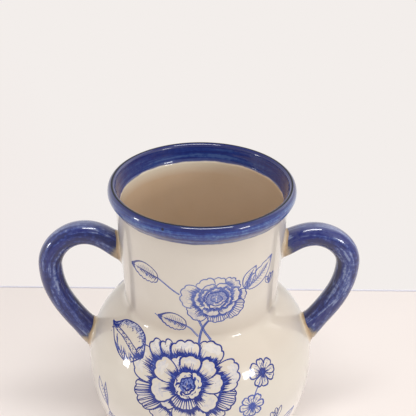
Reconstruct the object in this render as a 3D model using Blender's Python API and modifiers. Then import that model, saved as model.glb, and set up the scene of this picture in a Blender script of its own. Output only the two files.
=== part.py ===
"""A two-handled pottery vase: a round belly, a tall neck, a rolled lip, a foot ring and two looped handles.

Each piece that the potter makes on its own and joins while the clay is leather-hard is an object of its own.
Units are metres, +Z is up, and the origin is the centre of the foot, on the table.
The handles lie along X and the decorated front faces -Y.
"""

from math import atan2, cos, hypot, pi, radians, sin

import bmesh
import bpy
from mathutils import Matrix, Vector

# Driving dimensions
HEIGHT = 0.240              # table to the crown of the lip
BELLY_RADIUS = 0.0878       # at the widest level
BELLY_LEVEL = 0.0877        # height of the widest level
CREASE_RADIUS = 0.0579      # where the neck stands on the shoulder
CREASE_LEVEL = 0.1425
NECK_TOP_RADIUS = 0.0634    # where the neck meets the underside of the lip
LIP_HEIGHT = 0.0149
LIP_RADIUS = 0.0683         # at the lip's bulge
LIP_BULGE_DROP = 0.0056     # the bulge lies this far below the crown
CROWN_RADIUS = 0.0650       # circle along the top of the lip
CROWN_ROUND = 0.0026        # radius of the crown's own section
MOUTH_RADIUS = 0.0589       # inside, at the foot of the lip's funnel
NECK_WALL = 0.0047
BELLY_WALL = 0.0058
FLOOR_LEVEL = 0.0150        # inside floor of the belly
FLOOR_EDGE = (0.0050, 0.0025)  # width and height over which the floor turns up into the wall
UNDER_EDGE = (0.0008, 0.0025)  # width and height over which the wall turns in to the underside
FOOT_HEIGHT = 0.0090
FOOT_RADIUS = 0.0530
FOOT_WALL = 0.0080
FOOT_ROUND = 0.0015         # the foot ring's edges on the table are softened by this radius
SHOULDER_POWER = 2.14       # squareness of the shoulder's curve: 2 is an ellipse
LOWER_HALF_HEIGHT = 0.1014  # vertical half-axis of the ellipse below the widest level
LOWER_HOLLOW_HALF_HEIGHT = 0.0920
SHOULDER_THICKENING = 0.0065  # depth of the straight bore where the shoulder closes in to the neck
HANDLE_RADIUS = 0.0090      # round section along the loop
HANDLE_END_RADIUS = 0.0100  # the section swells where it is joined on
HANDLE_BEND = 0.37          # length of each knot's tangent, as a share of the distance to the next knot
LUTING_THICKNESS = 0.0030   # slip between the pot's wall and the handle's end
LUTING_RADIUS = 0.0117      # where the handle's axis meets the wall
LUTING_FLARE = 0.17         # widening of the slip towards the pot, per unit of length
JOINT_STEP = 0.0030         # height of the step or tongue where two thrown pieces are joined
TONGUE_WALL = 0.0018
PLUG_OUTSIDE, PLUG_INSIDE = 0.010, 0.012  # the luting's plug reaches this far before it is trimmed
GAP = 0.0003                # left between touching pieces
SEGMENTS = 48               # round the pot

# The two handles are pulled and bent by hand, so they differ a little. Slopes are in degrees from level.
HANDLES = {
    "left": {"side": -1, "reach": 0.1146, "crest": (0.0869, 0.1960), "widest_level": 0.1668,
             "neck_joint": 0.1838, "neck_slope": 31, "belly_joint": 0.1045, "belly_slope": 51},
    "right": {"side": 1, "reach": 0.1110, "crest": (0.0845, 0.1966), "widest_level": 0.1716,
              "neck_joint": 0.1878, "neck_slope": 26, "belly_joint": 0.1109, "belly_slope": 55},
}

# Materials: name, colour, roughness, metallic
CREAM_GLAZE = ("cream glaze", (0.72, 0.67, 0.60, 1), 0.12, 0.0)
COBALT_GLAZE = ("cobalt glaze", (0.035, 0.055, 0.26, 1), 0.12, 0.0)
THIN_GLAZE = ("thin buff glaze", (0.62, 0.52, 0.40, 1), 0.20, 0.0)
BARE_CLAY = ("bare buff clay", (0.66, 0.57, 0.46, 1), 0.70, 0.0)


def clear_scene():
    for obj in list(bpy.data.objects):
        bpy.data.objects.remove(obj, do_unlink=True)


def new_collection(name):
    collection = bpy.data.collections.new(name)
    bpy.context.scene.collection.children.link(collection)
    return collection


def material(spec):
    name, colour, roughness, metallic = spec
    made = bpy.data.materials.get(name) or bpy.data.materials.new(name)
    made.use_nodes = True
    shader = made.node_tree.nodes["Principled BSDF"]
    shader.inputs["Base Color"].default_value = colour
    shader.inputs["Roughness"].default_value = roughness
    shader.inputs["Metallic"].default_value = metallic
    return made


def arc(centre, radius, start, end, steps):
    """Points on a circle in the (r, z) plane, from one angle to another, in degrees."""
    angles = [radians(start + (end - start) * i / steps) for i in range(steps + 1)]
    return [(centre[0] + radius * cos(a), centre[1] + radius * sin(a)) for a in angles]


def levels(start, end, steps):
    return [start + (end - start) * i / steps for i in range(steps + 1)]


# ---- The pot's outline, as a radius at each height ----

def oval_radius(z, radius, half_height, power):
    """Radius at height z of an oval centred on the belly's widest level."""
    share = min(1.0, abs(z - BELLY_LEVEL) / half_height)
    return radius * (1 - share**power) ** (1 / power)


def shoulder_half_height(radius, opening_radius, opening_level):
    """Half-height of the upper oval that passes through the edge of the opening."""
    share = (1 - (opening_radius / radius) ** SHOULDER_POWER) ** (1 / SHOULDER_POWER)
    return (opening_level - BELLY_LEVEL) / share


def belly_outside(z):
    if z < BELLY_LEVEL:
        return oval_radius(z, BELLY_RADIUS, LOWER_HALF_HEIGHT, 2)
    upper = shoulder_half_height(BELLY_RADIUS, CREASE_RADIUS, CREASE_LEVEL)
    return oval_radius(z, BELLY_RADIUS, upper, SHOULDER_POWER)


def belly_inside(z):
    radius = BELLY_RADIUS - BELLY_WALL
    if z < BELLY_LEVEL:
        return oval_radius(z, radius, LOWER_HOLLOW_HALF_HEIGHT, 2)
    upper = shoulder_half_height(radius, CREASE_RADIUS - NECK_WALL, CREASE_LEVEL - SHOULDER_THICKENING)
    return oval_radius(z, radius, upper, SHOULDER_POWER)


def neck_outside(z):
    """The neck widens evenly from the crease to the lip."""
    share = (z - CREASE_LEVEL) / (HEIGHT - LIP_HEIGHT - CREASE_LEVEL)
    return CREASE_RADIUS + (NECK_TOP_RADIUS - CREASE_RADIUS) * share


def pot_outside(z):
    return belly_outside(z) if z < CREASE_LEVEL else neck_outside(z)


# ---- Thrown pieces ----

def turned(name, outline, closed, spec, collection):
    """A solid of revolution. The outline runs down the outside and comes back up the inside."""
    mesh = bpy.data.meshes.new(name)
    edges = [(i, i + 1) for i in range(len(outline) - 1)]
    if closed:
        edges.append((len(outline) - 1, 0))
    mesh.from_pydata([(r, 0, z) for r, z in outline], edges, [])
    obj = bpy.data.objects.new(name, mesh)
    collection.objects.link(obj)
    turn = obj.modifiers.new("Turn", "SCREW")
    turn.axis = "Z"
    turn.steps = SEGMENTS
    turn.render_steps = SEGMENTS
    turn.use_merge_vertices = True
    turn.merge_threshold = 0.0001
    if spec:
        mesh.materials.append(material(spec))
    return obj


def foot_ring(collection):
    """The ring that the pot stands on. Its top edge stands in a groove under the belly."""
    top = FOOT_HEIGHT + JOINT_STEP / 2 - GAP
    inner = FOOT_RADIUS - FOOT_WALL
    outline = [(FOOT_RADIUS, top)]
    outline += arc((FOOT_RADIUS - FOOT_ROUND, FOOT_ROUND), FOOT_ROUND, 0, -90, 3)
    outline += arc((inner + FOOT_ROUND, FOOT_ROUND), FOOT_ROUND, -90, -180, 3)
    outline += [(inner, top)]
    return turned("foot_ring", outline, True, BARE_CLAY, collection)


def belly(collection):
    """The round body. Its opening has a step for the neck, and its underside a groove for the foot ring."""
    top = CREASE_LEVEL - GAP / 2
    bore = CREASE_RADIUS - NECK_WALL
    step = bore + TONGUE_WALL + GAP
    step_level = CREASE_LEVEL - JOINT_STEP - GAP
    groove = FOOT_HEIGHT + JOINT_STEP / 2
    groove_outer, groove_inner = FOOT_RADIUS + GAP, FOOT_RADIUS - FOOT_WALL - GAP
    low = FOOT_HEIGHT + UNDER_EDGE[1]
    # From the middle of the floor up the inside, over the opening, down the outside and back under the floor.
    wall_foot = FLOOR_LEVEL + FLOOR_EDGE[1]
    outline = [(0, FLOOR_LEVEL), (belly_inside(wall_foot) - FLOOR_EDGE[0], FLOOR_LEVEL)]
    outline += [(belly_inside(z), z) for z in levels(wall_foot, BELLY_LEVEL, 8)]
    outline += [(belly_inside(z), z) for z in levels(BELLY_LEVEL, CREASE_LEVEL - SHOULDER_THICKENING, 8)[1:]]
    outline += [(bore, step_level), (step, step_level), (step, top)]
    outline += [(belly_outside(z), z) for z in levels(top, BELLY_LEVEL, 10)]
    outline += [(belly_outside(z), z) for z in levels(BELLY_LEVEL, low, 10)[1:]]
    outline += [(groove_outer + UNDER_EDGE[0], FOOT_HEIGHT), (groove_outer, FOOT_HEIGHT)]
    outline += [(groove_outer, groove), (groove_inner, groove), (groove_inner, FOOT_HEIGHT), (0, FOOT_HEIGHT)]
    return turned("belly", outline, False, CREAM_GLAZE, collection)


def tongue_walls():
    """Inner and outer radius of the tongue on the neck's top edge."""
    middle = (MOUTH_RADIUS + NECK_TOP_RADIUS) / 2
    return middle - TONGUE_WALL / 2, middle + TONGUE_WALL / 2


def neck(collection):
    """The tall collar. A tongue on its top edge enters the lip, and its foot steps into the belly."""
    top = HEIGHT - LIP_HEIGHT - GAP / 2
    bottom = CREASE_LEVEL + GAP / 2
    bore = neck_outside(bottom) - NECK_WALL
    tongue_in, tongue_out = tongue_walls()
    tongue_top = HEIGHT - LIP_HEIGHT + JOINT_STEP
    outline = [(tongue_in, tongue_top), (tongue_out, tongue_top), (tongue_out, top)]
    outline += [(neck_outside(z), z) for z in levels(top, bottom, 4)]
    outline += [(bore + TONGUE_WALL, bottom), (bore + TONGUE_WALL, CREASE_LEVEL - JOINT_STEP)]
    outline += [(bore, CREASE_LEVEL - JOINT_STEP), (MOUTH_RADIUS, top), (tongue_in, top)]
    return turned("neck", outline, True, CREAM_GLAZE, collection)


def lip(collection):
    """The rolled lip: a round crown, a bulge outside, a funnel inside and a groove for the neck's tongue."""
    bottom = HEIGHT - LIP_HEIGHT + GAP / 2
    bulge = HEIGHT - LIP_BULGE_DROP
    tongue_in, tongue_out = tongue_walls()
    groove_top = HEIGHT - LIP_HEIGHT + JOINT_STEP + GAP
    outline = arc((CROWN_RADIUS, HEIGHT - CROWN_ROUND), CROWN_ROUND, 135, 30, 7)
    for i in range(8):  # a quarter of an oval, from the bulge in to the neck
        angle = radians(90 * i / 7)
        outline.append((NECK_TOP_RADIUS + (LIP_RADIUS - NECK_TOP_RADIUS) * cos(angle),
                        bulge - (bulge - bottom) * sin(angle)))
    outline += [(tongue_out + GAP, bottom), (tongue_out + GAP, groove_top)]
    outline += [(tongue_in - GAP, groove_top), (tongue_in - GAP, bottom), (MOUTH_RADIUS, bottom)]
    return turned("lip", outline, True, COBALT_GLAZE, collection)


# ---- Handles and their luting ----

def wall_cutter(name, clearance, collection):
    """The pot's outer shape grown by a clearance. It trims the pieces that are joined on to the wall."""
    zs = levels(HEIGHT - LIP_HEIGHT, CREASE_LEVEL, 4) + levels(CREASE_LEVEL, CREASE_LEVEL - 0.100, 20)[1:]
    outline = [(0, zs[0])]
    for above, z, below in zip(zs[:1] + zs, zs, zs[1:] + zs[-1:]):
        run, rise = pot_outside(above) - pot_outside(below), above - below
        size = hypot(run, rise)
        outline.append((pot_outside(z) + clearance * rise / size, z - clearance * run / size))
    outline.append((0, outline[-1][1]))
    cutter = turned(name, outline, False, None, collection)
    cutter.hide_render = True
    cutter.display_type = "WIRE"
    return cutter


def trim(obj, cutter, operation):
    cut = obj.modifiers.new(cutter.name, "BOOLEAN")
    cut.object = cutter
    cut.operation = operation


def knots(shape):
    """The loop's four knots on the handle's own side: place and unit direction along the loop, in (x, z)."""
    neck_angle = radians(shape["neck_slope"])
    belly_angle = radians(shape["belly_slope"])
    neck_end = Vector((pot_outside(shape["neck_joint"]), shape["neck_joint"]))
    belly_end = Vector((pot_outside(shape["belly_joint"]), shape["belly_joint"]))
    return [
        (neck_end, Vector((cos(neck_angle), sin(neck_angle)))),
        (Vector(shape["crest"]), Vector((1, 0))),
        (Vector((shape["reach"], shape["widest_level"])), Vector((0, -1))),
        (belly_end, Vector((-cos(belly_angle), -sin(belly_angle)))),
    ]


def on_side(shape, flat):
    return Vector((shape["side"] * flat.x, 0, flat.y))


def handle_curve(shape, collection):
    """A round coil of clay bent into a loop. Its ends reach the pot's wall."""
    data = bpy.data.curves.new("handle_path", "CURVE")
    data.dimensions = "3D"
    data.bevel_depth = HANDLE_RADIUS
    data.bevel_resolution = 4
    data.resolution_u = 8
    data.use_fill_caps = True
    path = knots(shape)
    spans = [(b[0] - a[0]).length for a, b in zip(path, path[1:])]
    spline = data.splines.new("BEZIER")
    spline.bezier_points.add(len(path) - 1)
    for i, (point, (place, way)) in enumerate(zip(spline.bezier_points, path)):
        before, after = spans[max(0, i - 1)], spans[min(len(spans) - 1, i)]
        point.co = on_side(shape, place)
        point.handle_left = point.co - on_side(shape, way) * before * HANDLE_BEND
        point.handle_right = point.co + on_side(shape, way) * after * HANDLE_BEND
        at_joint = i in (0, len(path) - 1)
        point.radius = HANDLE_END_RADIUS / HANDLE_RADIUS if at_joint else 1
    obj = bpy.data.objects.new("handle_path", data)
    collection.objects.link(obj)
    return obj


def as_mesh(curve, name, collection):
    """The curve's solid as a mesh object with its caps welded on. The curve is removed."""
    bpy.context.view_layer.update()
    graph = bpy.context.evaluated_depsgraph_get()
    mesh = bpy.data.meshes.new_from_object(curve.evaluated_get(graph))
    mesh.name = name
    shape = bmesh.new()
    shape.from_mesh(mesh)
    bmesh.ops.remove_doubles(shape, verts=shape.verts, dist=0.00001)
    bmesh.ops.recalc_face_normals(shape, faces=shape.faces)
    shape.to_mesh(mesh)
    shape.free()
    obj = bpy.data.objects.new(name, mesh)
    obj.matrix_world = curve.matrix_world
    collection.objects.link(obj)
    bpy.data.objects.remove(curve, do_unlink=True)
    return obj


def handle(name, shape, cutter, collection):
    obj = as_mesh(handle_curve(shape, collection), name, collection)
    trim(obj, cutter, "DIFFERENCE")
    obj.data.materials.append(material(COBALT_GLAZE))
    return obj


def luting(name, shape, place, outward, wall, outer, collection):
    """The pad of slip at a joint: a plug that flares towards the pot, cut to a layer on its wall."""
    bpy.ops.mesh.primitive_cone_add(
        vertices=24,
        radius1=LUTING_RADIUS + LUTING_FLARE * PLUG_INSIDE,
        radius2=LUTING_RADIUS - LUTING_FLARE * PLUG_OUTSIDE,
        depth=PLUG_OUTSIDE + PLUG_INSIDE,
        end_fill_type="TRIFAN",
    )
    obj = bpy.context.active_object
    obj.name = name
    obj.data.name = name
    axis = on_side(shape, outward)
    centre = on_side(shape, place) + axis * (PLUG_OUTSIDE - PLUG_INSIDE) / 2
    obj.matrix_world = Matrix.Translation(centre) @ Matrix.Rotation(atan2(axis.x, axis.z), 4, "Y")
    for holder in list(obj.users_collection):
        holder.objects.unlink(obj)
    collection.objects.link(obj)
    trim(obj, wall, "DIFFERENCE")
    trim(obj, outer, "INTERSECT")
    obj.data.materials.append(material(THIN_GLAZE))
    return obj


def smooth(obj):
    obj.data.shade_smooth()
    obj.data.set_sharp_from_angle(angle=pi / 5)


def main():
    clear_scene()
    vase = new_collection("two_handled_vase")
    helpers = new_collection("cutters")
    for build in (foot_ring, belly, neck, lip):
        smooth(build(vase))
    wall = wall_cutter("wall_cutter", GAP, helpers)
    outer = wall_cutter("luting_cutter", GAP + LUTING_THICKNESS, helpers)
    clear_of_luting = wall_cutter("handle_cutter", 2 * GAP + LUTING_THICKNESS, helpers)
    for side, shape in HANDLES.items():
        smooth(handle(f"{side}_handle", shape, clear_of_luting, vase))
        path = knots(shape)
        (neck_place, neck_way), (belly_place, belly_way) = path[0], path[-1]
        smooth(luting(f"{side}_upper_luting", shape, neck_place, neck_way, wall, outer, vase))
        smooth(luting(f"{side}_lower_luting", shape, belly_place, -belly_way, wall, outer, vase))


main()
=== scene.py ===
# %% [markdown]
# # A two-handled vase in cream glaze with cobalt flowers
#
# The imported solids of the vase are a fixed frame: they say where everything is. This script makes
# the surface that a person sees, piece by piece, in the order in which a potter works: turned body,
# pulled handles, slip at the joints, brushed cobalt, line drawing and clear glaze. The frame is
# loaded first.

# %% Load the frame
import random
from math import cos, degrees, hypot, pi, radians, sin, sqrt

import bmesh
import bpy
from mathutils import Matrix, Vector


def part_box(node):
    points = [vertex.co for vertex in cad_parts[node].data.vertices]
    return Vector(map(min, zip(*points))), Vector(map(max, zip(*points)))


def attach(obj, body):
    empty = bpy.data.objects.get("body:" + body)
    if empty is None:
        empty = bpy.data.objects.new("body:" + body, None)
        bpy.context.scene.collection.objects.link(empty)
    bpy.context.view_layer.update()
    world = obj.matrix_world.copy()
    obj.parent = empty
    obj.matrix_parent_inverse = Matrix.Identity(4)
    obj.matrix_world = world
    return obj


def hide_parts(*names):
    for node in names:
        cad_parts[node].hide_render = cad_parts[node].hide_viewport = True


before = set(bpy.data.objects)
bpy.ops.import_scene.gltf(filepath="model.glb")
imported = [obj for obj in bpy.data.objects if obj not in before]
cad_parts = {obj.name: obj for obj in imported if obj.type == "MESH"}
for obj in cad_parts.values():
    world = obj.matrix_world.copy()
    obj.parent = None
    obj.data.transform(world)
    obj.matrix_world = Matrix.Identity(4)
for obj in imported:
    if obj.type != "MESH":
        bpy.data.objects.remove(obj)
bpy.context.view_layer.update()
print("frame nodes:", sorted(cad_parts))

# %% [markdown]
# ## The camera
#
# The vase is seen from a little above the mouth, from about 0.7 m, as a person sees a vase on a
# table in front of them. The lens is a fairly long one. The camera is turned by a matrix made of
# three plain turns: pan, tilt, roll.

# %% Camera
MM = 0.001
EYE = Vector((0, -566.4, 537.9)) * MM
TILT_DOWN, PAN_RIGHT, ROLL = 29.48, 0.45, 0.83  # degrees
LENS_MM = 76.84

camera_data = bpy.data.cameras.new("studio_camera")
camera_data.lens = LENS_MM
camera_data.clip_start = 0.01
camera = bpy.data.objects.new("studio_camera", camera_data)
bpy.context.scene.collection.objects.link(camera)
aim = Matrix.Rotation(-radians(PAN_RIGHT), 4, "Z") @ Matrix.Rotation(radians(90 - TILT_DOWN), 4, "X")
camera.matrix_world = Matrix.Translation(EYE) @ aim @ Matrix.Rotation(radians(ROLL), 4, "Z")
bpy.context.scene.camera = camera
print("camera height above the table, mm:", round(EYE.z / MM))

# %% [markdown]
# ## Three small helpers
#
# Colours are written as the hex values that a painter's chart gives, and Blender's shaders want
# linear light, so one function turns one into the other. The second gives a node's inputs their
# values and links, and the third adds a node of any kind to a tree, so that a whole tree reads as a
# short list.

# %% Colour and node helpers
def colour(hex_code):
    """A chart colour such as #e1d5c7 as linear red, green, blue and alpha."""
    parts = [int(hex_code[i:i + 2], 16) / 255 for i in (1, 3, 5)]
    return tuple(c / 12.92 if c <= 0.04045 else ((c + 0.055) / 1.055) ** 2.4 for c in parts) + (1.0,)


def wire(node, inputs):
    """Gives inputs a value, a chart colour or a link. A node stands for its own first output in use."""
    for key, value in inputs.items():
        if isinstance(value, bpy.types.Node):
            value = next(socket for socket in value.outputs if socket.enabled)
        if isinstance(value, bpy.types.NodeSocket):
            node.id_data.links.new(value, node.inputs[key])
        else:
            on_chart = isinstance(value, str) and value.startswith("#")
            node.inputs[key].default_value = colour(value) if on_chart else value
    return node


def add(tree, kind, inputs=None, **settings):
    """Adds a node of any kind with its settings, and wires it."""
    node = tree.nodes.new(kind)
    for name, value in settings.items():
        setattr(node, name, value)
    return wire(node, inputs or {})


print("cream is", [round(c, 3) for c in colour("#e1d5c7")])

# %% [markdown]
# ## The pot's outline
#
# A thrown pot is known once its outline is known. Its main sizes are read from the frame, and the
# curves between them are rules: the neck is a straight cone, the shoulder is a slightly squared
# oval, the lower belly is an ellipse, and a soft fillet, where the potter's finger ran, joins neck
# and shoulder.

# %% Sizes of the pot, in millimetres
belly_low, belly_high = [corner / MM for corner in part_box("belly")]
lip_low, lip_high = [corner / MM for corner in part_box("lip")]

HEIGHT = lip_high.z
LIP_BOTTOM = lip_low.z
LIP_RADIUS = lip_high.x
LIP_BULGE = HEIGHT - 5.6
CROWN_RADIUS = LIP_RADIUS - 3.3
CROWN_ROUND = 2.6          # radius of the crown's inner side
MOUTH_RADIUS = 58.9
FUNNEL_FOOT = 1.1          # the lip's funnel ends this far above its underside
NECK_TOP_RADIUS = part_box("neck")[1].x / MM
CREASE_LEVEL = belly_high.z
CREASE_RADIUS = 57.9
NECK_WALL = 4.7
BELLY_RADIUS = belly_high.x
BELLY_LEVEL = 87.7
SHOULDER_POWER = 2.14      # squareness of the shoulder's curve: 2 is an ellipse
LOWER_HALF_HEIGHT = 101.4  # upright half-axis of the ellipse below the widest level
CAVITY_HALF_HEIGHT = 92.0  # the same for the inside
BELLY_WALL = 5.8
BORE_DEPTH = 6.5           # straight part inside, below the crease
FLOOR_LEVEL = 15.0
FOOT_TOP = belly_low.z
FOOT_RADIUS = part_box("foot_ring")[1].x / MM
FOOT_WALL = 8.0
FOOT_ROUND = 1.5           # the foot's edges on the table
TURN_IN = 2.5              # the wall turns in to the floor and to the underside over this height
FILLET = 4.5               # the crease's fillet reaches this far up the neck
FILLET_DOWN = FILLET * 0.62
LIP_SEAM = LIP_BOTTOM - 0.6
NECK_SEAM = CREASE_LEVEL + FILLET + 1.0
print("height", round(HEIGHT, 1), "widest", round(2 * BELLY_RADIUS, 1), "mouth", round(2 * CROWN_RADIUS, 1))


# %% Rules for the wall
def spread(start, end, steps):
    return [start + (end - start) * i / steps for i in range(steps + 1)]


def shoulder_radius(z, radius=BELLY_RADIUS, opening=(CREASE_RADIUS, CREASE_LEVEL)):
    reach = (1 - (opening[0] / radius) ** SHOULDER_POWER) ** (1 / SHOULDER_POWER)
    share = (z - BELLY_LEVEL) / (opening[1] - BELLY_LEVEL) * reach
    return radius * (1 - share**SHOULDER_POWER) ** (1 / SHOULDER_POWER)


def lower_radius(z, radius=BELLY_RADIUS, half_height=LOWER_HALF_HEIGHT):
    return radius * sqrt(1 - ((BELLY_LEVEL - z) / half_height) ** 2)


def neck_radius(z, low=CREASE_RADIUS, high=NECK_TOP_RADIUS):
    share = (z - CREASE_LEVEL) / (LIP_BOTTOM - CREASE_LEVEL)
    return low + (high - low) * share


def wall_radius(z):
    if z >= CREASE_LEVEL:
        return neck_radius(z)
    return shoulder_radius(z) if z >= BELLY_LEVEL else lower_radius(z)


def bend(start, corner, end, steps):
    """A soft corner: points on a quadratic curve that is tangent to both sides of the corner."""
    points = []
    for t in spread(0, 1, steps):
        points.append(tuple((1 - t) ** 2 * a + 2 * t * (1 - t) * b + t * t * c
                            for a, b, c in zip(start, corner, end)))
    return points


def outer_wall():
    """The wall's outline in (radius, height), from the underside of the lip down to the foot."""
    top_of_bend, low_of_bend = CREASE_LEVEL + FILLET, CREASE_LEVEL - FILLET_DOWN
    line = [(neck_radius(z), z) for z in spread(LIP_SEAM, NECK_SEAM, 60)]
    line += bend((neck_radius(top_of_bend), top_of_bend), (CREASE_RADIUS, CREASE_LEVEL),
                 (shoulder_radius(low_of_bend), low_of_bend), 10)
    line += [(shoulder_radius(z), z) for z in spread(low_of_bend, BELLY_LEVEL, 60)[1:]]
    line += [(lower_radius(z), z) for z in spread(BELLY_LEVEL, FOOT_TOP + TURN_IN, 70)[1:]]
    return line


wall_line = outer_wall()
print("points on the wall's outline:", len(wall_line))

# %% [markdown]
# ## Turning on the wheel
#
# A turned shape could come from a Screw modifier. Here a Geometry Nodes tree does it, because the
# same tree can carry values from the outline to every point round the pot: how far a point lies
# inside the cobalt band, how far it is along the outline, and whether it faces the inside. The
# materials read those values. The tree makes a flat grid with one column for each point of the
# outline, looks each point up, and winds the grid round the axis.

# %% Trees with named inputs
def new_tree(name, inputs):
    """A Geometry Nodes tree with its named inputs. Returns the tree, its input node and its output node."""
    tree = bpy.data.node_groups.new(name, "GeometryNodeTree")
    tree.interface.new_socket("Geometry", in_out="INPUT", socket_type="NodeSocketGeometry")
    for label, kind in inputs.items():
        tree.interface.new_socket(label, in_out="INPUT", socket_type="NodeSocket" + kind)
    tree.interface.new_socket("Geometry", in_out="OUTPUT", socket_type="NodeSocketGeometry")
    return tree, tree.nodes.new("NodeGroupInput"), tree.nodes.new("NodeGroupOutput")


def end_tree(tree, geometry, given, result):
    """Every tree ends alike: it puts the finish on and makes any instances real."""
    finished = add(tree, "GeometryNodeSetMaterial", {
        "Geometry": geometry, "Material": given.outputs["Material"]})
    wire(result, {0: add(tree, "GeometryNodeRealizeInstances", {"Geometry": finished})})
    print("nodes in the tree", tree.name + ":", len(tree.nodes))


def made_by(tree, carrier, name, values):
    """Runs a tree on a carrier object and keeps the result as a plain mesh object. The carrier is removed."""
    modifier = carrier.modifiers.new("make", "NODES")
    modifier.node_group = tree
    for item in tree.interface.items_tree:
        if item.in_out == "INPUT" and item.name in values:
            modifier[item.identifier] = values[item.name]
    bpy.context.view_layer.update()
    graph = bpy.context.evaluated_depsgraph_get()
    mesh = bpy.data.meshes.new_from_object(carrier.evaluated_get(graph))
    mesh.name = name
    bpy.data.objects.remove(carrier, do_unlink=True)
    return show(name, mesh)


def show(name, mesh):
    piece = bpy.data.objects.new(name, mesh)
    bpy.context.scene.collection.objects.link(piece)
    return piece


def line_object(name, points, edges, values):
    """Points joined by edges, in metres, with named values on the points."""
    mesh = bpy.data.meshes.new(name)
    mesh.from_pydata(points, edges, [])
    for label, numbers in values.items():
        mesh.attributes.new(label, "FLOAT", "POINT").data.foreach_set("value", numbers)
    return show(name, mesh)


def outline_object(name, points, values=None):
    """A line of points in the XZ plane, given in millimetres."""
    edges = [(i, i + 1) for i in range(len(points) - 1)]
    return line_object(name, [(r * MM, 0, z * MM) for r, z in points], edges, values or {})


# %% The tree that turns an outline
CARRIED = ("cobalt_mm", "along_mm", "inside")

turning, given, result = new_tree("turn on the wheel", {
    "Outline": "Object", "Points": "Int", "Steps Around": "Int", "Material": "Material"})
outline = add(turning, "GeometryNodeObjectInfo", {"Object": given.outputs["Outline"]}).outputs["Geometry"]
columns = add(turning, "ShaderNodeMath", {0: given.outputs["Steps Around"], 1: 1.0}, operation="ADD")
grid = add(turning, "GeometryNodeMeshGrid", {"Vertices X": columns, "Vertices Y": given.outputs["Points"]})
index = add(turning, "GeometryNodeInputIndex")
row = add(turning, "ShaderNodeMath", {0: index, 1: given.outputs["Points"]}, operation="MODULO")
share = add(turning, "ShaderNodeMath", {0: index, 1: given.outputs["Points"]}, operation="DIVIDE")
column = add(turning, "ShaderNodeMath", {0: share}, operation="FLOOR")
turn = add(turning, "ShaderNodeMath", {0: column, 1: given.outputs["Steps Around"]}, operation="DIVIDE")
angle = add(turning, "ShaderNodeMath", {0: turn, 1: 2 * pi}, operation="MULTIPLY")
place = add(turning, "GeometryNodeInputPosition")
looked_up = add(turning, "GeometryNodeSampleIndex", {"Geometry": outline, "Index": row},
                data_type="FLOAT_VECTOR")
wire(looked_up, {"Value": place})
wound = add(turning, "ShaderNodeVectorRotate", {"Vector": looked_up, "Angle": angle}, rotation_type="Z_AXIS")
carried = add(turning, "GeometryNodeSetPosition", {"Geometry": grid, "Position": wound})
for label in CARRIED:
    value = add(turning, "GeometryNodeInputNamedAttribute", {"Name": label}, data_type="FLOAT")
    found = add(turning, "GeometryNodeSampleIndex", {"Geometry": outline, "Index": row}, data_type="FLOAT")
    wire(found, {"Value": value})
    carried = add(turning, "GeometryNodeStoreNamedAttribute", {
        "Geometry": carried, "Name": label, "Value": found}, data_type="FLOAT", domain="POINT")
welded = add(turning, "GeometryNodeMergeByDistance", {"Geometry": carried, "Distance": 0.001 * MM})
smooth = add(turning, "GeometryNodeSetShadeSmooth", {"Geometry": welded})
end_tree(turning, smooth, given, result)


# %% Turn one piece
STEPS_AROUND = 224
NO_COBALT = -50.0  # millimetres outside the band


def face_outwards(mesh, sharp_over=50):
    """Closes the seam, turns every face outwards and shades smooth up to an angle in degrees."""
    shape = bmesh.new()
    shape.from_mesh(mesh)
    bmesh.ops.remove_doubles(shape, verts=shape.verts, dist=0.0005 * MM)
    bmesh.ops.recalc_face_normals(shape, faces=shape.faces)
    shape.to_mesh(mesh)
    shape.free()
    mesh.shade_smooth()
    mesh.set_sharp_from_angle(angle=radians(sharp_over))


def turned(name, points, finish, cobalt_mm=None, inside=None):
    """Turns an outline into a closed piece. cobalt_mm and inside are rules on a point of the outline."""
    loop = points + points[:1]
    along, lengths = 0.0, []
    for i, point in enumerate(loop):
        along += hypot(point[0] - loop[i - 1][0], point[1] - loop[i - 1][1]) if i else 0
        lengths.append(along)
    values = {
        "cobalt_mm": [cobalt_mm(p) if cobalt_mm else NO_COBALT for p in loop],
        "along_mm": lengths,
        "inside": [float(inside(i, p)) if inside else 0.0 for i, p in enumerate(loop)],
    }
    outline_of_piece = outline_object(name + "_outline", loop, values)
    carrier = show(name + "_carrier", bpy.data.meshes.new(name + "_carrier"))
    piece = made_by(turning, carrier, name, {
        "Outline": outline_of_piece, "Points": len(loop), "Steps Around": STEPS_AROUND, "Material": finish})
    bpy.data.objects.remove(outline_of_piece, do_unlink=True)
    face_outwards(piece.data)
    print(name, "faces:", len(piece.data.polygons))
    return piece


# %% [markdown]
# ## Cream glaze
#
# The body is a buff earthenware under a cream, slightly warm glossy glaze, dipped and fired. A
# glaze is glass over clay: the colour comes from below, and the reflections from a clear, very
# smooth top layer. So the base stays fairly dull and the shader's coat gives the gloss. The glaze
# pools and thins by a shade over 30 mm, and the turning left rings about 4 mm apart, so shallow
# that only reflections show them. A colour ramp over the height makes the cream darker on the
# shoulder and paler low on the belly. Inside, where less was poured, the buff clay comes through.

# %% Glaze materials: shared starting point
def new_finish(name, values):
    """A material, its tree and its shader, whose constant values are set on the shader's own sockets."""
    made = bpy.data.materials.new(name)
    made.use_nodes = True
    return made, made.node_tree, wire(made.node_tree.nodes["Principled BSDF"], values)


def glossy_glaze(name, coat_roughness=0.022):
    """A fired clear glaze over colour. The shader's base colour is still free."""
    return new_finish(name, {
        "Roughness": 0.32, "IOR": 1.5, "Specular IOR Level": 0.25,
        "Coat Weight": 1.0, "Coat Roughness": coat_roughness, "Coat IOR": 1.52})


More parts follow.
